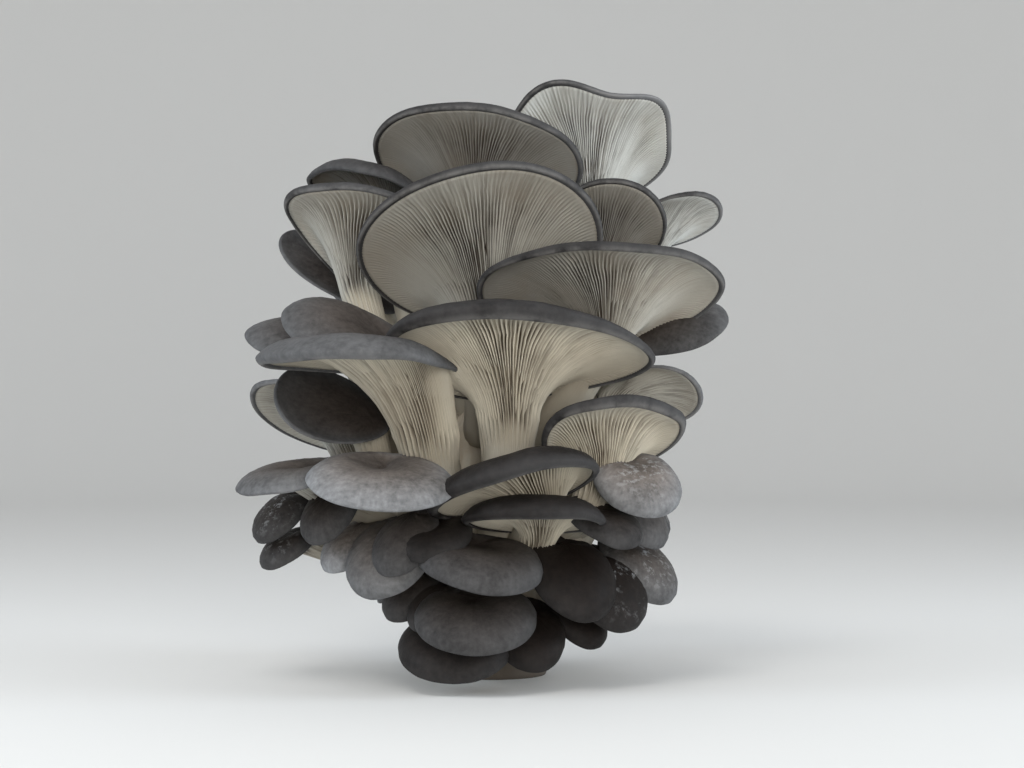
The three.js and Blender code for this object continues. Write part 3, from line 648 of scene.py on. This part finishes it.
def skin_finish(settings, tone):
    """Cap skin: felted radial fibres, soft mottling, a thin paler line along the margin, a painted cool
    sheen and painted light on the margin's right side.
    """
    paint = Paint("cap_skin_" + tone)
    share = paint.field("share")
    fibre = paint.field("fibre", "Vector")
    fibres = paint.noise(1.0, 5.0, 0.6, paint.stretched(fibre, (16.0, 16.0, 3.0)))
    mottle = paint.noise(90.0, 5.0, 0.65)
    cloud = paint.noise(22.0, 2.0)
    grain = paint.noise(1100.0, 2.0)
    # The middle of a cap is browner and darker, and a zone along the margin is paler and cooler, partly
    # the skin's own tone and partly a painted cool sheen
    outer = share.ramp(0.35, 0.9)
    speck = paint.noise(420.0, 3.0, 0.6)
    uneven = (cloud - 0.5) * 0.8 + (mottle - 0.5) * 1.1 + (fibres - 0.5) * 0.5 + (speck - 0.5) * 1.2
    # The pale coating is partly the skin's own and partly a painted cool sheen
    bloom = paint.field("bloom") * (0.7 + outer * 0.45) * (1.0 + uneven)
    lip = (1.0 - paint.field("over")) * share.ramp(0.96, 1.0)
    bloom = bloom + share.ramp(0.75, 0.98) * mottle.ramp(0.2, 0.7) * 0.045
    # Painted light on the lip and outer zone of the margin, growing towards the right side
    bloom = bloom + (lip * 0.75 + share.ramp(0.93, 1.0) * 0.25) * paint.field("rim")
    deep = paint.mix(outer, settings.skin_middle, settings.skin_outer)
    dust = (speck - 0.5) * 1.2 + (mottle - 0.5) + (fibres - 0.5) * 0.4 + 0.35
    deep = paint.mix(dust, deep, settings.skin_dust)
    veil = paint.mix(share.ramp(0.55, 1.0), settings.bloom_middle, settings.bloom)
    colour = paint.mix(bloom, deep, veil)
    # A thin paler line along the margin
    line = paint.field("over").ramp(0.6, 0.2) * share.ramp(0.99, 1.0) * (mottle.ramp(0.3, 0.6) * 0.3)
    colour = paint.mix(line, colour, settings.margin_line)
    rough = 0.52 + (mottle - 0.5) * 0.3 + grain.ramp(0.4, 0.7) * 0.06
    height = fibres * 0.25 + mottle * 0.5 + grain * 0.25
    if tone == "frosted":
        flakes = paint.noise(330.0, 4.0, 0.7).ramp(0.51, 0.62)
        patch = paint.noise(70.0, 3.0, 0.6).ramp(0.42, 0.56) * share.ramp(1.0, 0.5)
        frost = flakes * patch
        colour = paint.mix(frost * 0.5, colour, settings.frost)
        height = height + frost * 0.5
    return paint.finish(
        Base_Color=colour, Roughness=rough, Normal=paint.bump(height, 0.0008, 0.5),
        Specular_IOR_Level=0.07,
    )


def gill_finish(settings, tone):
    """Gills and stem: painted shade in the gaps between pale blades, and skin-grey flesh towards the
    margin.
    """
    edge, gap, outer_share = {
        "grey": (settings.gill_grey, settings.gap_shade_grey, 0.55),
        "umber": (settings.gill_umber, settings.gap_shade_grey, 0.55),
        # Painted shade: a darker copy of the grey gills for fans that face down into shade
        "cream": (settings.gill_cream, settings.gap_shade_cream, 0.45),
        # Painted light: brighter, cooler gills where light shines through the thin flesh
        "pale": (settings.gill_backlit, settings.gap_shade_grey, 0.3),
    }[tone]
    paint = Paint("gill_flesh_" + tone)
    along = paint.field("along")
    fibre = paint.field("fibre", "Vector")
    streak = paint.noise(1.0, 4.0, 0.6, paint.stretched(fibre, (34.0, 34.0, 2.5)))
    cloud = paint.noise(45.0, 3.0)
    broad = paint.noise(16.0, 2.0)
    grain = paint.noise(700.0, 2.0)
    # Painted brown shade deep between the blades, darkest in front, where one looks in between them
    facing = paint.field("front").ramp(0.45, 0.97)
    dash = paint.noise(1.0, 3.0, 0.6, paint.stretched(fibre, (24.0, 24.0, 2.5))).ramp(0.35, 0.6)
    depth = paint.field("gap") * (0.6 + facing * 0.4) * along.ramp(1.15, 0.7) * (0.45 + dash * 0.55)
    colour = paint.mix(depth, edge, gap)
    # Long soft streaks of painted shade in front and in the middle, then the greyer zone near the margin,
    # partly painted shade, and painted shade on the left side
    centre = paint.field("front").ramp(0.8, 1.0)
    streaks = streak.ramp(0.4, 0.65) * (facing * 0.2 + centre * 0.25)
    colour = paint.mix(streaks, colour, gap)
    # Greyer and darker towards the margin: partly the gills' own tone, partly painted shade where the
    # gill side curls away
    colour = paint.mix(along.ramp(0.6, 1.0) * outer_share, colour, settings.gill_outer)
    # Painted shade on the left side of the gills
    colour = paint.mix(paint.field("dusk"), colour, gap)
    colour = paint.mix(along.ramp(0.96, 0.99) * 0.6, colour, settings.skin_outer)
    stem_streaks = streak.ramp(0.4, 0.75) * 0.35
    stem_colour = paint.mix(stem_streaks, settings.stem, settings.stem_shade)
    # The gills end raggedly on the stem
    ragged_end = (along + (streak - 0.5) * 0.35).ramp(0.06, -0.08)
    colour = paint.mix(ragged_end, colour, stem_colour)
    stain = cloud.ramp(0.5, 0.75) * 0.25 + broad.ramp(0.45, 0.7) * 0.3 + streak.ramp(0.55, 0.8) * 0.15
    colour = paint.mix(stain, colour, settings.stain)
    rough = 0.62 + (cloud - 0.5) * 0.2
    height = streak * 0.6 + grain * 0.25 + cloud * 0.15
    return paint.finish(
        Base_Color=colour, Roughness=rough, Normal=paint.bump(height, 0.0005, 0.4),
        Specular_IOR_Level=0.3,
    )


def butt_finish(settings):
    """The fused base: cream flesh with upright fibres, darkened low down by painted brown shade, and a
    plain cut face.
    """
    paint = Paint("butt_flesh")
    fibres = paint.noise(1.0, 5.0, 0.6, paint.stretched(paint.places, (240.0, 240.0, 45.0)))
    cloud = paint.noise(30.0, 4.0)
    grain = paint.noise(800.0, 2.0)
    colour = paint.mix(fibres.ramp(0.35, 0.7), settings.stem_shade, settings.stem)
    colour = paint.mix(cloud.ramp(0.45, 0.75) * 0.5, colour, settings.stain)
    height_above = paint.node("ShaderNodeSeparateXYZ", None, paint.places, output="Z")
    # Painted shade that darkens the butt towards the floor
    low = (height_above + (cloud - 0.5) * 0.03).ramp(0.05, 0.012)
    colour = paint.mix(low * 0.85, colour, settings.butt_foot_shade)
    rough = 0.7 + (cloud - 0.5) * 0.2
    height = fibres * 0.7 + cloud * 0.2 + grain * 0.1
    return paint.finish(Base_Color=colour, Roughness=rough, Normal=paint.bump(height, 0.001, 0.5))


# Geometry trees

class Growth(Board):
    """A Geometry Nodes tree that works on one mesh."""

    def __init__(self, name, sizes):
        tree = bpy.data.node_groups.new(name, "GeometryNodeTree")
        super().__init__(tree)
        interface = tree.interface
        interface.new_socket("Geometry", in_out="INPUT", socket_type="NodeSocketGeometry")
        for size, (default, description) in sizes.items():
            socket = interface.new_socket(size, in_out="INPUT", socket_type="NodeSocketFloat")
            socket.default_value = default
            socket.description = description
        interface.new_socket("Material", in_out="INPUT", socket_type="NodeSocketMaterial")
        interface.new_socket("Geometry", in_out="OUTPUT", socket_type="NodeSocketGeometry")
        self.given = tree.nodes.new("NodeGroupInput")
        self.result = tree.nodes.new("NodeGroupOutput")

    def input(self, name):
        return Wire(self, self.given.outputs[name])

    def field(self, name, kind="FLOAT"):
        return self.node("GeometryNodeInputNamedAttribute", dict(data_type=kind), Name=name)

    def noise(self, scale, detail, places=None):
        return self.node(
            "ShaderNodeTexNoise", None, output="Fac",
            Vector=places or self.node("GeometryNodeInputPosition"), Scale=scale, Detail=detail,
        )

    def scaled(self, vector, factor):
        return self.node("ShaderNodeVectorMath", dict(operation="SCALE"), Vector=vector, Scale=factor)

    def moved(self, geometry, offset):
        return self.node("GeometryNodeSetPosition", None, Geometry=geometry, Offset=offset)

    def kept(self, geometry, name, value):
        return self.node(
            "GeometryNodeStoreNamedAttribute", dict(data_type="FLOAT", domain="POINT"),
            Geometry=geometry, Name=name, Value=value,
        )

    def close(self, geometry):
        geometry = self.node("GeometryNodeRealizeInstances", None, Geometry=geometry)
        geometry = self.node(
            "GeometryNodeSetMaterial", None, Geometry=geometry, Material=self.input("Material"),
        )
        self.tree.links.new(geometry.socket, self.result.inputs["Geometry"])
        return self.tree


def gill_tree():
    """Raises the gills as thin blades, short ones between long ones, which end raggedly on the stem."""
    growth = Growth("raise_gills", {
        "Height": (0.002, "How far a gill stands out, in metres"),
        "Short Start": (0.3, "Where the shortest gills begin, from neck 0 to margin 1"),
        "Stem Run": (0.15, "How far down the stem the gills run, as a share of the stem"),
        "Wander": (0.6, "How far a gill strays sideways, in pitches"),
    })
    along = growth.field("along")
    rank = growth.field("rank")
    ragged = (growth.noise(420.0, 2.0) - 0.5) * 0.7 + (growth.noise(80.0, 2.0) - 0.5) * 1.3
    start = (rank * 0.5) * (rank * 0.5) * growth.input("Short Start") + ragged * 0.35 * rank
    begun = ((along - start) / 0.16 + 0.5).ramp(0.0, 1.0)
    # The long gills have no start on the cap: they fade down the stem instead
    long = rank.ramp(0.5, 0.1)
    on_stem = ((along + ragged * 0.2) / growth.input("Stem Run") + 1.0).ramp(0.0, 1.0)
    reaches = long * on_stem + (1.0 - long) * begun
    ends = along.ramp(1.0, 0.5)
    crest = growth.field("blade") * reaches
    uneven = 0.75 + growth.noise(160.0, 2.0) * 0.5
    height = crest * ends * growth.field("room") * growth.input("Height") * uneven
    # Mask of the painted shade between the blades, for the gill finish
    gap = (1.0 - crest) * on_stem * along.ramp(1.02, 0.6)
    geometry = growth.kept(growth.input("Geometry"), "gap", gap)
    normal = growth.node("GeometryNodeInputNormal")
    geometry = growth.moved(geometry, growth.scaled(normal, height))
    drift = (growth.noise(70.0, 1.0) - 0.5) * 2.0 + (growth.noise(260.0, 1.0) - 0.5) * 0.8
    stray = drift * growth.input("Wander") * on_stem * along.ramp(0.98, 0.85)
    geometry = growth.moved(geometry, growth.scaled(growth.field("wander", "FLOAT_VECTOR"), stray))
    return growth.close(geometry)


def skin_tree():
    """Gives a cap its low swellings and dents, and fine radial wrinkles near the margin."""
    growth = Growth("swell_skin", {
        "Swell": (0.0012, "Height of the soft swellings, in metres"),
        "Wrinkle": (0.00025, "Height of the radial wrinkles, in metres"),
    })
    share = growth.field("share")
    over = growth.field("over")
    fibre = growth.field("fibre", "FLOAT_VECTOR")
    places = growth.node("ShaderNodeVectorMath", dict(operation="MULTIPLY"), fibre, (5.0, 5.0, 1.2))
    soft = growth.noise(38.0, 2.0) - 0.5
    wrinkle = growth.noise(1.6, 2.0, places) - 0.5
    calm = share.ramp(1.0, 0.8) * over
    height = soft * growth.input("Swell") * calm + wrinkle * growth.input("Wrinkle") * over * 2.0
    normal = growth.node("GeometryNodeInputNormal")
    geometry = growth.moved(growth.input("Geometry"), growth.scaled(normal, height))
    return growth.close(geometry)


def grown(pieces):
    """Applies each piece's tree: pieces are (object, tree, sizes, material)."""
    for piece, tree, sizes, material in pieces:
        modifier = piece.modifiers.new(tree.name, "NODES")
        modifier.node_group = tree
        inputs = [item for item in tree.interface.items_tree if item.in_out == "INPUT"]
        named = {item.name: item.identifier for item in inputs}
        for size, value in sizes.items():
            modifier[named[size]] = value
        modifier[named["Material"]] = material
    graph = bpy.context.evaluated_depsgraph_get()
    for piece, *_ in pieces:
        mesh = bpy.data.meshes.new_from_object(piece.evaluated_get(graph))
        plain = piece.data
        piece.modifiers.clear()
        piece.data = mesh
        mesh.name = piece.name
        mesh.shade_smooth()
        bpy.data.meshes.remove(plain)


# Settings

class MushroomSizes(bpy.types.PropertyGroup):
    """Sizes of the details that a user may change"""
    gill_height: FloatProperty(
        name="Gill height", description="Scale of how far the gills stand out",
        default=1.0, min=0.2, max=2.0)
    gill_wander: FloatProperty(
        name="Gill wander", description="How far gills stray sideways, in pitches",
        default=0.6, min=0, max=2)
    short_start: FloatProperty(
        name="Short gills", description="Where the shortest gills begin, from neck to margin",
        default=0.3, min=0.1, max=0.9, subtype="FACTOR")
    stem_run: FloatProperty(
        name="Stem run", description="How far down the stem the gills run",
        default=0.15, min=0.05, max=1, subtype="FACTOR")
    swell: FloatProperty(
        name="Swell", description="Height of the soft swellings of the caps",
        default=0.0012, min=0, unit="LENGTH")
    wrinkle: FloatProperty(
        name="Wrinkle", description="Height of the radial wrinkles of the caps",
        default=0.00025, min=0, unit="LENGTH")
    seed: IntProperty(
        name="Seed", description="Start of the random draws for the uneven margins", default=7, min=0)


def colour_property(name, description, default):
    return FloatVectorProperty(
        name=name, description=description, default=default, size=3, min=0, max=1, subtype="COLOR")


class MushroomColours(bpy.types.PropertyGroup):
    """Colours of skin, gills and stems"""
    skin_middle: colour_property("Skin middle", "Dark brown in a cap's middle", (0.0075, 0.005, 0.004))
    skin_outer: colour_property("Skin outer", "Dark grey near a cap's margin", (0.009, 0.0078, 0.0075))
    skin_dust: colour_property("Skin dust", "Paler grain of the felted skin", (0.016, 0.0115, 0.0095))
    # Pale cool colour: partly the skin's own coating, partly a painted cool sheen
    bloom: colour_property("Bloom", "Pale cool bloom that lies on the skin", (0.3, 0.31, 0.325))
    bloom_middle: colour_property("Bloom middle", "Browner bloom on a cap", (0.325, 0.285, 0.26))
    # A thin paler line along the margin
    margin_line: colour_property("Margin line", "Worn line along the margin", (0.3, 0.29, 0.28))
    frost: colour_property("Frost", "White flakes of the frosted caps", (0.5, 0.51, 0.52))
    gill_grey: colour_property("Grey gills", "Edges of the grey gills", (0.52, 0.51, 0.46))
    # Painted shade: a darker copy of the grey gills for fans that face down
    gill_umber: colour_property("Umber gills", "Edges of the darker gills", (0.335, 0.33, 0.305))
    # Painted shade between the grey gills
    gap_shade_grey: colour_property("Grey gaps", "Between the grey gills", (0.03, 0.022, 0.016))
    gill_cream: colour_property("Cream gills", "Edges of the cream gills", (0.63, 0.585, 0.48))
    # Painted shade between the cream gills
    gap_shade_cream: colour_property("Cream gaps", "Between the cream gills", (0.05, 0.036, 0.022))
    # Painted light: brighter, cooler gills where light shines through the thin flesh
    gill_backlit: colour_property("Pale gills", "Edges of the thin pale gills", (0.68, 0.7, 0.68))
    # Partly the gills' own greyer tone, partly painted shade towards the margin
    gill_outer: colour_property("Outer gills", "Greyer gills towards the margin", (0.3, 0.28, 0.24))
    stem: colour_property("Stem", "Flesh of the stems", (0.41, 0.38, 0.315))
    stem_shade: colour_property("Stem shade", "Streaks of the stems", (0.4, 0.35, 0.28))
    # Painted shade on the butt just above the floor
    butt_foot_shade: colour_property("Butt foot", "Brown of the butt just above the cut", (0.07, 0.055, 0.042))
    stain: colour_property("Stain", "Soft brown stains on pale flesh", (0.22, 0.175, 0.125))


def power_property(name, description, default):
    return FloatProperty(name=name, description=description, default=default, min=0, unit="POWER")


class StageLights(bpy.types.PropertyGroup):
    """Lights of the studio stage"""
    key_power: power_property("Key light", "Power of the high light in front", 5.5)
    fill_power: power_property("Fill light", "Power of the low warm light in front", 8.5)
    left_power: power_property("Left light", "Power of the cool light on the left", 4)
    right_power: power_property("Right light", "Power of the cool light on the right", 4.5)
    sky: FloatProperty(
        name="Surroundings", description="Brightness of the white surroundings", default=0.6, min=0)


# Operators

class MushroomOperator:
    """What the operators for groups of mushrooms share"""
    bl_options = {"REGISTER", "UNDO"}
    rows = ()

    def execute(self, context):
        sizes = context.scene.mushroom_sizes
        colours = context.scene.mushroom_colours
        raise_gills = bpy.data.node_groups.get("raise_gills") or gill_tree()
        swell_skin = bpy.data.node_groups.get("swell_skin") or skin_tree()
        made = []
        dressed = []
        for place, row in enumerate(self.rows):
            # The draw depends on the name, so that a mushroom keeps its margin when others change
            shape = Shape(row, sizes.seed + sum(row["name"].encode()))
            grid = GRIDS[row["size"]]
            skin = material_once("cap_skin_", skin_finish, colours, row["skin"])
            flesh = material_once("gill_flesh_", gill_finish, colours, row["gill"])
            cap = cap_piece(shape, grid, place)
            under = gill_piece(shape, grid, place)
            made.append((cap, swell_skin, {"Swell": sizes.swell, "Wrinkle": sizes.wrinkle}, skin))
            made.append((under, raise_gills, {
                "Height": grid["height"] * MM * sizes.gill_height, "Short Start": sizes.short_start,
                "Stem Run": sizes.stem_run, "Wander": sizes.gill_wander,
            }, flesh))
            dressed.append((cap, "cap_skin", row["name"]))
            dressed.append((under, "pale_flesh", row["name"]))
        grown(made)
        for piece, slot, node in dressed:
            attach(piece, "root")
            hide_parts(node)
        return {"FINISHED"}


def material_once(start, finish, colours, tone):
    return bpy.data.materials.get(start + tone) or finish(colours, tone)


class MUSHROOM_OT_fans(MushroomOperator, bpy.types.Operator):
    """Grow the upper fans that turn their gills to the viewer"""
    bl_idname = "mushroom.fans"
    bl_label = "Upper fans"
    rows = FANS


class MUSHROOM_OT_shelves(MushroomOperator, bpy.types.Operator):
    """Grow the shelves in the middle, two of them with a rolled margin"""
    bl_idname = "mushroom.shelves"
    bl_label = "Shelves"
    rows = SHELVES


class MUSHROOM_OT_shingles(MushroomOperator, bpy.types.Operator):
    """Grow the shingled caps and buttons of the lower part"""
    bl_idname = "mushroom.shingles"
    bl_label = "Shingled caps"
    rows = SHINGLES


class MUSHROOM_OT_back(MushroomOperator, bpy.types.Operator):
    """Grow the mushrooms of the back and sides"""
    bl_idname = "mushroom.back"
    bl_label = "Back"
    rows = BACK


class MUSHROOM_OT_butt(bpy.types.Operator):
    """Shape the fused base that the stems grow from"""
    bl_idname = "mushroom.butt"
    bl_label = "Butt"
    bl_options = {"REGISTER", "UNDO"}

    def execute(self, context):
        piece = butt_piece()
        piece.data.materials.append(butt_finish(context.scene.mushroom_colours))
        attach(piece, "root")
        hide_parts("butt")
        return {"FINISHED"}


def butt_piece():
    """A tapering mass with upright folds, where the stems grew together, and a flat cut face."""
    angles = np.linspace(0, 2 * math.pi, BUTT_COLUMNS, endpoint=False)
    top = BUTT_PROFILE[-1][0]
    phases = np.random.default_rng(BUTT_FOLD_SEED).uniform(0, 2 * math.pi, len(BUTT_FOLDS))
    rings = []
    for height in np.linspace(0, top, BUTT_ROWS):
        grown_in = min(height / BUTT_SMOOTH_FOOT, 1)
        swell = 1 + BUTT_LOBE_SWELL * np.sin(BUTT_LOBES * angles) * grown_in
        folds = sum(
            BUTT_FOLD_DEPTH * np.sin(count * angles + phase + BUTT_FOLD_TWIST * height)
            for count, phase in zip(BUTT_FOLDS, phases)
        )
        reach = butt_radius(height) * (swell + folds * grown_in - BUTT_FOLD_INSET)
        x = BUTT_MIDDLE[0] + reach * np.sin(angles)
        y = BUTT_MIDDLE[1] - reach * BUTT_FLATTENING * np.cos(angles)
        rings.append(np.stack([x, y, np.full(BUTT_COLUMNS, height)], axis=-1))
    foot = np.array([*BUTT_MIDDLE, 0.0])
    crown = np.array([*BUTT_MIDDLE, top + BUTT_CROWN])
    return ring_mesh("butt_flesh", np.array(rings), foot, crown, {})


# The photograph's view: straight ahead at the height of the cluster's middle, in millimetres
CAMERA_PLACE = (9.5, -1000.0, 131.6)
SENSOR_WIDTH = 36.0
VIEW_WIDTH = 440.3  # across the picture at the view distance
VIEW_DISTANCE = 950.0

# The floor, in metres
FLOOR_RADIUS = 1.5
FLOOR_COLUMNS = 96
WALL_BEND = 0.8
WALL_BEND_STEPS = 12
WALL_HEIGHT = 1.6

# The lights: name, place and size in metres, the setting that holds the power, and colour
LIGHT_AIM = (0, -0.03, 0.13)
WHITE, WARM, COOL = (1.0, 0.99, 0.97), (1.0, 0.94, 0.86), (0.82, 0.91, 1.0)
LIGHTS = (
    ("key_light", (-0.3, -0.75, 1.15), 0.55, "key_power", WHITE),
    ("fill_light", (0.2, -1.45, 0.3), 0.6, "fill_power", WARM),
    ("left_light", (-0.9, -0.3, 0.42), 0.5, "left_power", COOL),
    ("right_light", (0.95, -0.2, 0.42), 0.5, "right_power", COOL),
)


class MUSHROOM_OT_stage(bpy.types.Operator):
    """Set out the pale floor, the soft lights and the camera"""
    bl_idname = "mushroom.stage"
    bl_label = "Stage"
    bl_options = {"REGISTER", "UNDO"}

    def execute(self, context):
        lights = context.scene.mushroom_lights
        add_camera()
        add_floor()
        add_surroundings(lights.sky)
        for name, place, size, setting, colour in LIGHTS:
            add_light(name, place, size, getattr(lights, setting), colour)
        return {"FINISHED"}


def add_camera():
    lens = bpy.data.cameras.new("camera")
    lens.sensor_width = SENSOR_WIDTH
    lens.lens = SENSOR_WIDTH * VIEW_DISTANCE / VIEW_WIDTH
    camera = bpy.data.objects.new("camera", lens)
    camera.location = Vector(CAMERA_PLACE) * MM
    camera.rotation_euler = (math.pi / 2, 0, 0)
    bpy.context.scene.collection.objects.link(camera)
    bpy.context.scene.camera = camera


def add_floor():
    """A round pale floor that curves up into a wall all round, so that no view shows its edge."""
    profile = [(0.0, 0.0), (FLOOR_RADIUS, 0.0)]
    for step in range(1, WALL_BEND_STEPS + 1):
        turn = step / WALL_BEND_STEPS * math.pi / 2
        profile.append((
            FLOOR_RADIUS + WALL_BEND * math.sin(turn), WALL_BEND * (1 - math.cos(turn)),
        ))
    profile.append((FLOOR_RADIUS + WALL_BEND, WALL_HEIGHT))
    angles = np.linspace(0, 2 * math.pi, FLOOR_COLUMNS, endpoint=False)
    points = [(0.0, 0.0, 0.0)]
    for radius, height in profile[1:]:
        points += [(radius * math.cos(a), radius * math.sin(a), height) for a in angles]
    pairs = [(column, (column + 1) % FLOOR_COLUMNS) for column in range(FLOOR_COLUMNS)]
    faces = [(0, 1 + column, 1 + after) for column, after in pairs]
    for row in range(len(profile) - 2):
        low = 1 + row * FLOOR_COLUMNS
        high = low + FLOOR_COLUMNS
        faces += [(low + column, high + column, high + after, low + after) for column, after in pairs]
    mesh = bpy.data.meshes.new("floor")
    mesh.from_pydata(points, [], faces)
    mesh.shade_smooth()
    floor = bpy.data.objects.new("floor", mesh)
    bpy.context.scene.collection.objects.link(floor)
    paint = Paint("pale_floor")
    mesh.materials.append(paint.finish(Base_Color=(0.75, 0.75, 0.74, 1.0), Roughness=0.9))


def add_surroundings(brightness):
    world = bpy.data.worlds.new("surroundings")
    world.use_nodes = True
    background = world.node_tree.nodes["Background"]
    background.inputs["Color"].default_value = (0.97, 0.985, 1.0, 1.0)
    background.inputs["Strength"].default_value = brightness
    bpy.context.scene.world = world


def add_light(name, place, size, power, colour):
    lamp = bpy.data.lights.new(name, "AREA")
    lamp.shape = "DISK"
    lamp.size = size
    lamp.energy = power
    lamp.color = colour
    light = bpy.data.objects.new(name, lamp)
    light.location = place
    light.rotation_euler = (Vector(LIGHT_AIM) - Vector(place)).to_track_quat("-Z", "Y").to_euler()
    bpy.context.scene.collection.objects.link(light)


class MUSHROOM_PT_panel(bpy.types.Panel):
    """Lists the steps and the settings"""
    bl_idname = "MUSHROOM_PT_panel"
    bl_label = "Oyster mushroom cluster"
    bl_space_type = "VIEW_3D"
    bl_region_type = "UI"
    bl_category = "Mushrooms"

    def draw(self, context):
        for operator in OPERATORS:
            self.layout.operator(operator.bl_idname)
        for name in SETTINGS:
            group = getattr(context.scene, name)
            box = self.layout.box()
            for prop in group.bl_rna.properties:
                if prop.identifier not in ("rna_type", "name"):
                    box.prop(group, prop.identifier)


SETTINGS = {
    "mushroom_sizes": MushroomSizes,
    "mushroom_colours": MushroomColours,
    "mushroom_lights": StageLights,
}
OPERATORS = (
    MUSHROOM_OT_stage,
    MUSHROOM_OT_butt,
    MUSHROOM_OT_fans,
    MUSHROOM_OT_shelves,
    MUSHROOM_OT_shingles,
    MUSHROOM_OT_back,
)


def register():
    for group in SETTINGS.values():
        bpy.utils.register_class(group)
    for name, group in SETTINGS.items():
        setattr(bpy.types.Scene, name, PointerProperty(type=group))
    for operator in OPERATORS:
        bpy.utils.register_class(operator)
    bpy.utils.register_class(MUSHROOM_PT_panel)


def unregister():
    bpy.utils.unregister_class(MUSHROOM_PT_panel)
    for operator in reversed(OPERATORS):
        bpy.utils.unregister_class(operator)
    for name, group in SETTINGS.items():
        delattr(bpy.types.Scene, name)
        bpy.utils.unregister_class(group)


def plain(box):
    return [list(corner) for corner in box]


def main():
    register()
    bpy.context.scene.view_settings.view_transform = "Standard"
    bpy.ops.mushroom.stage()
    bpy.ops.mushroom.butt()
    bpy.ops.mushroom.fans()
    bpy.ops.mushroom.shelves()
    bpy.ops.mushroom.shingles()
    bpy.ops.mushroom.back()


if __name__ == "__main__":
    main()
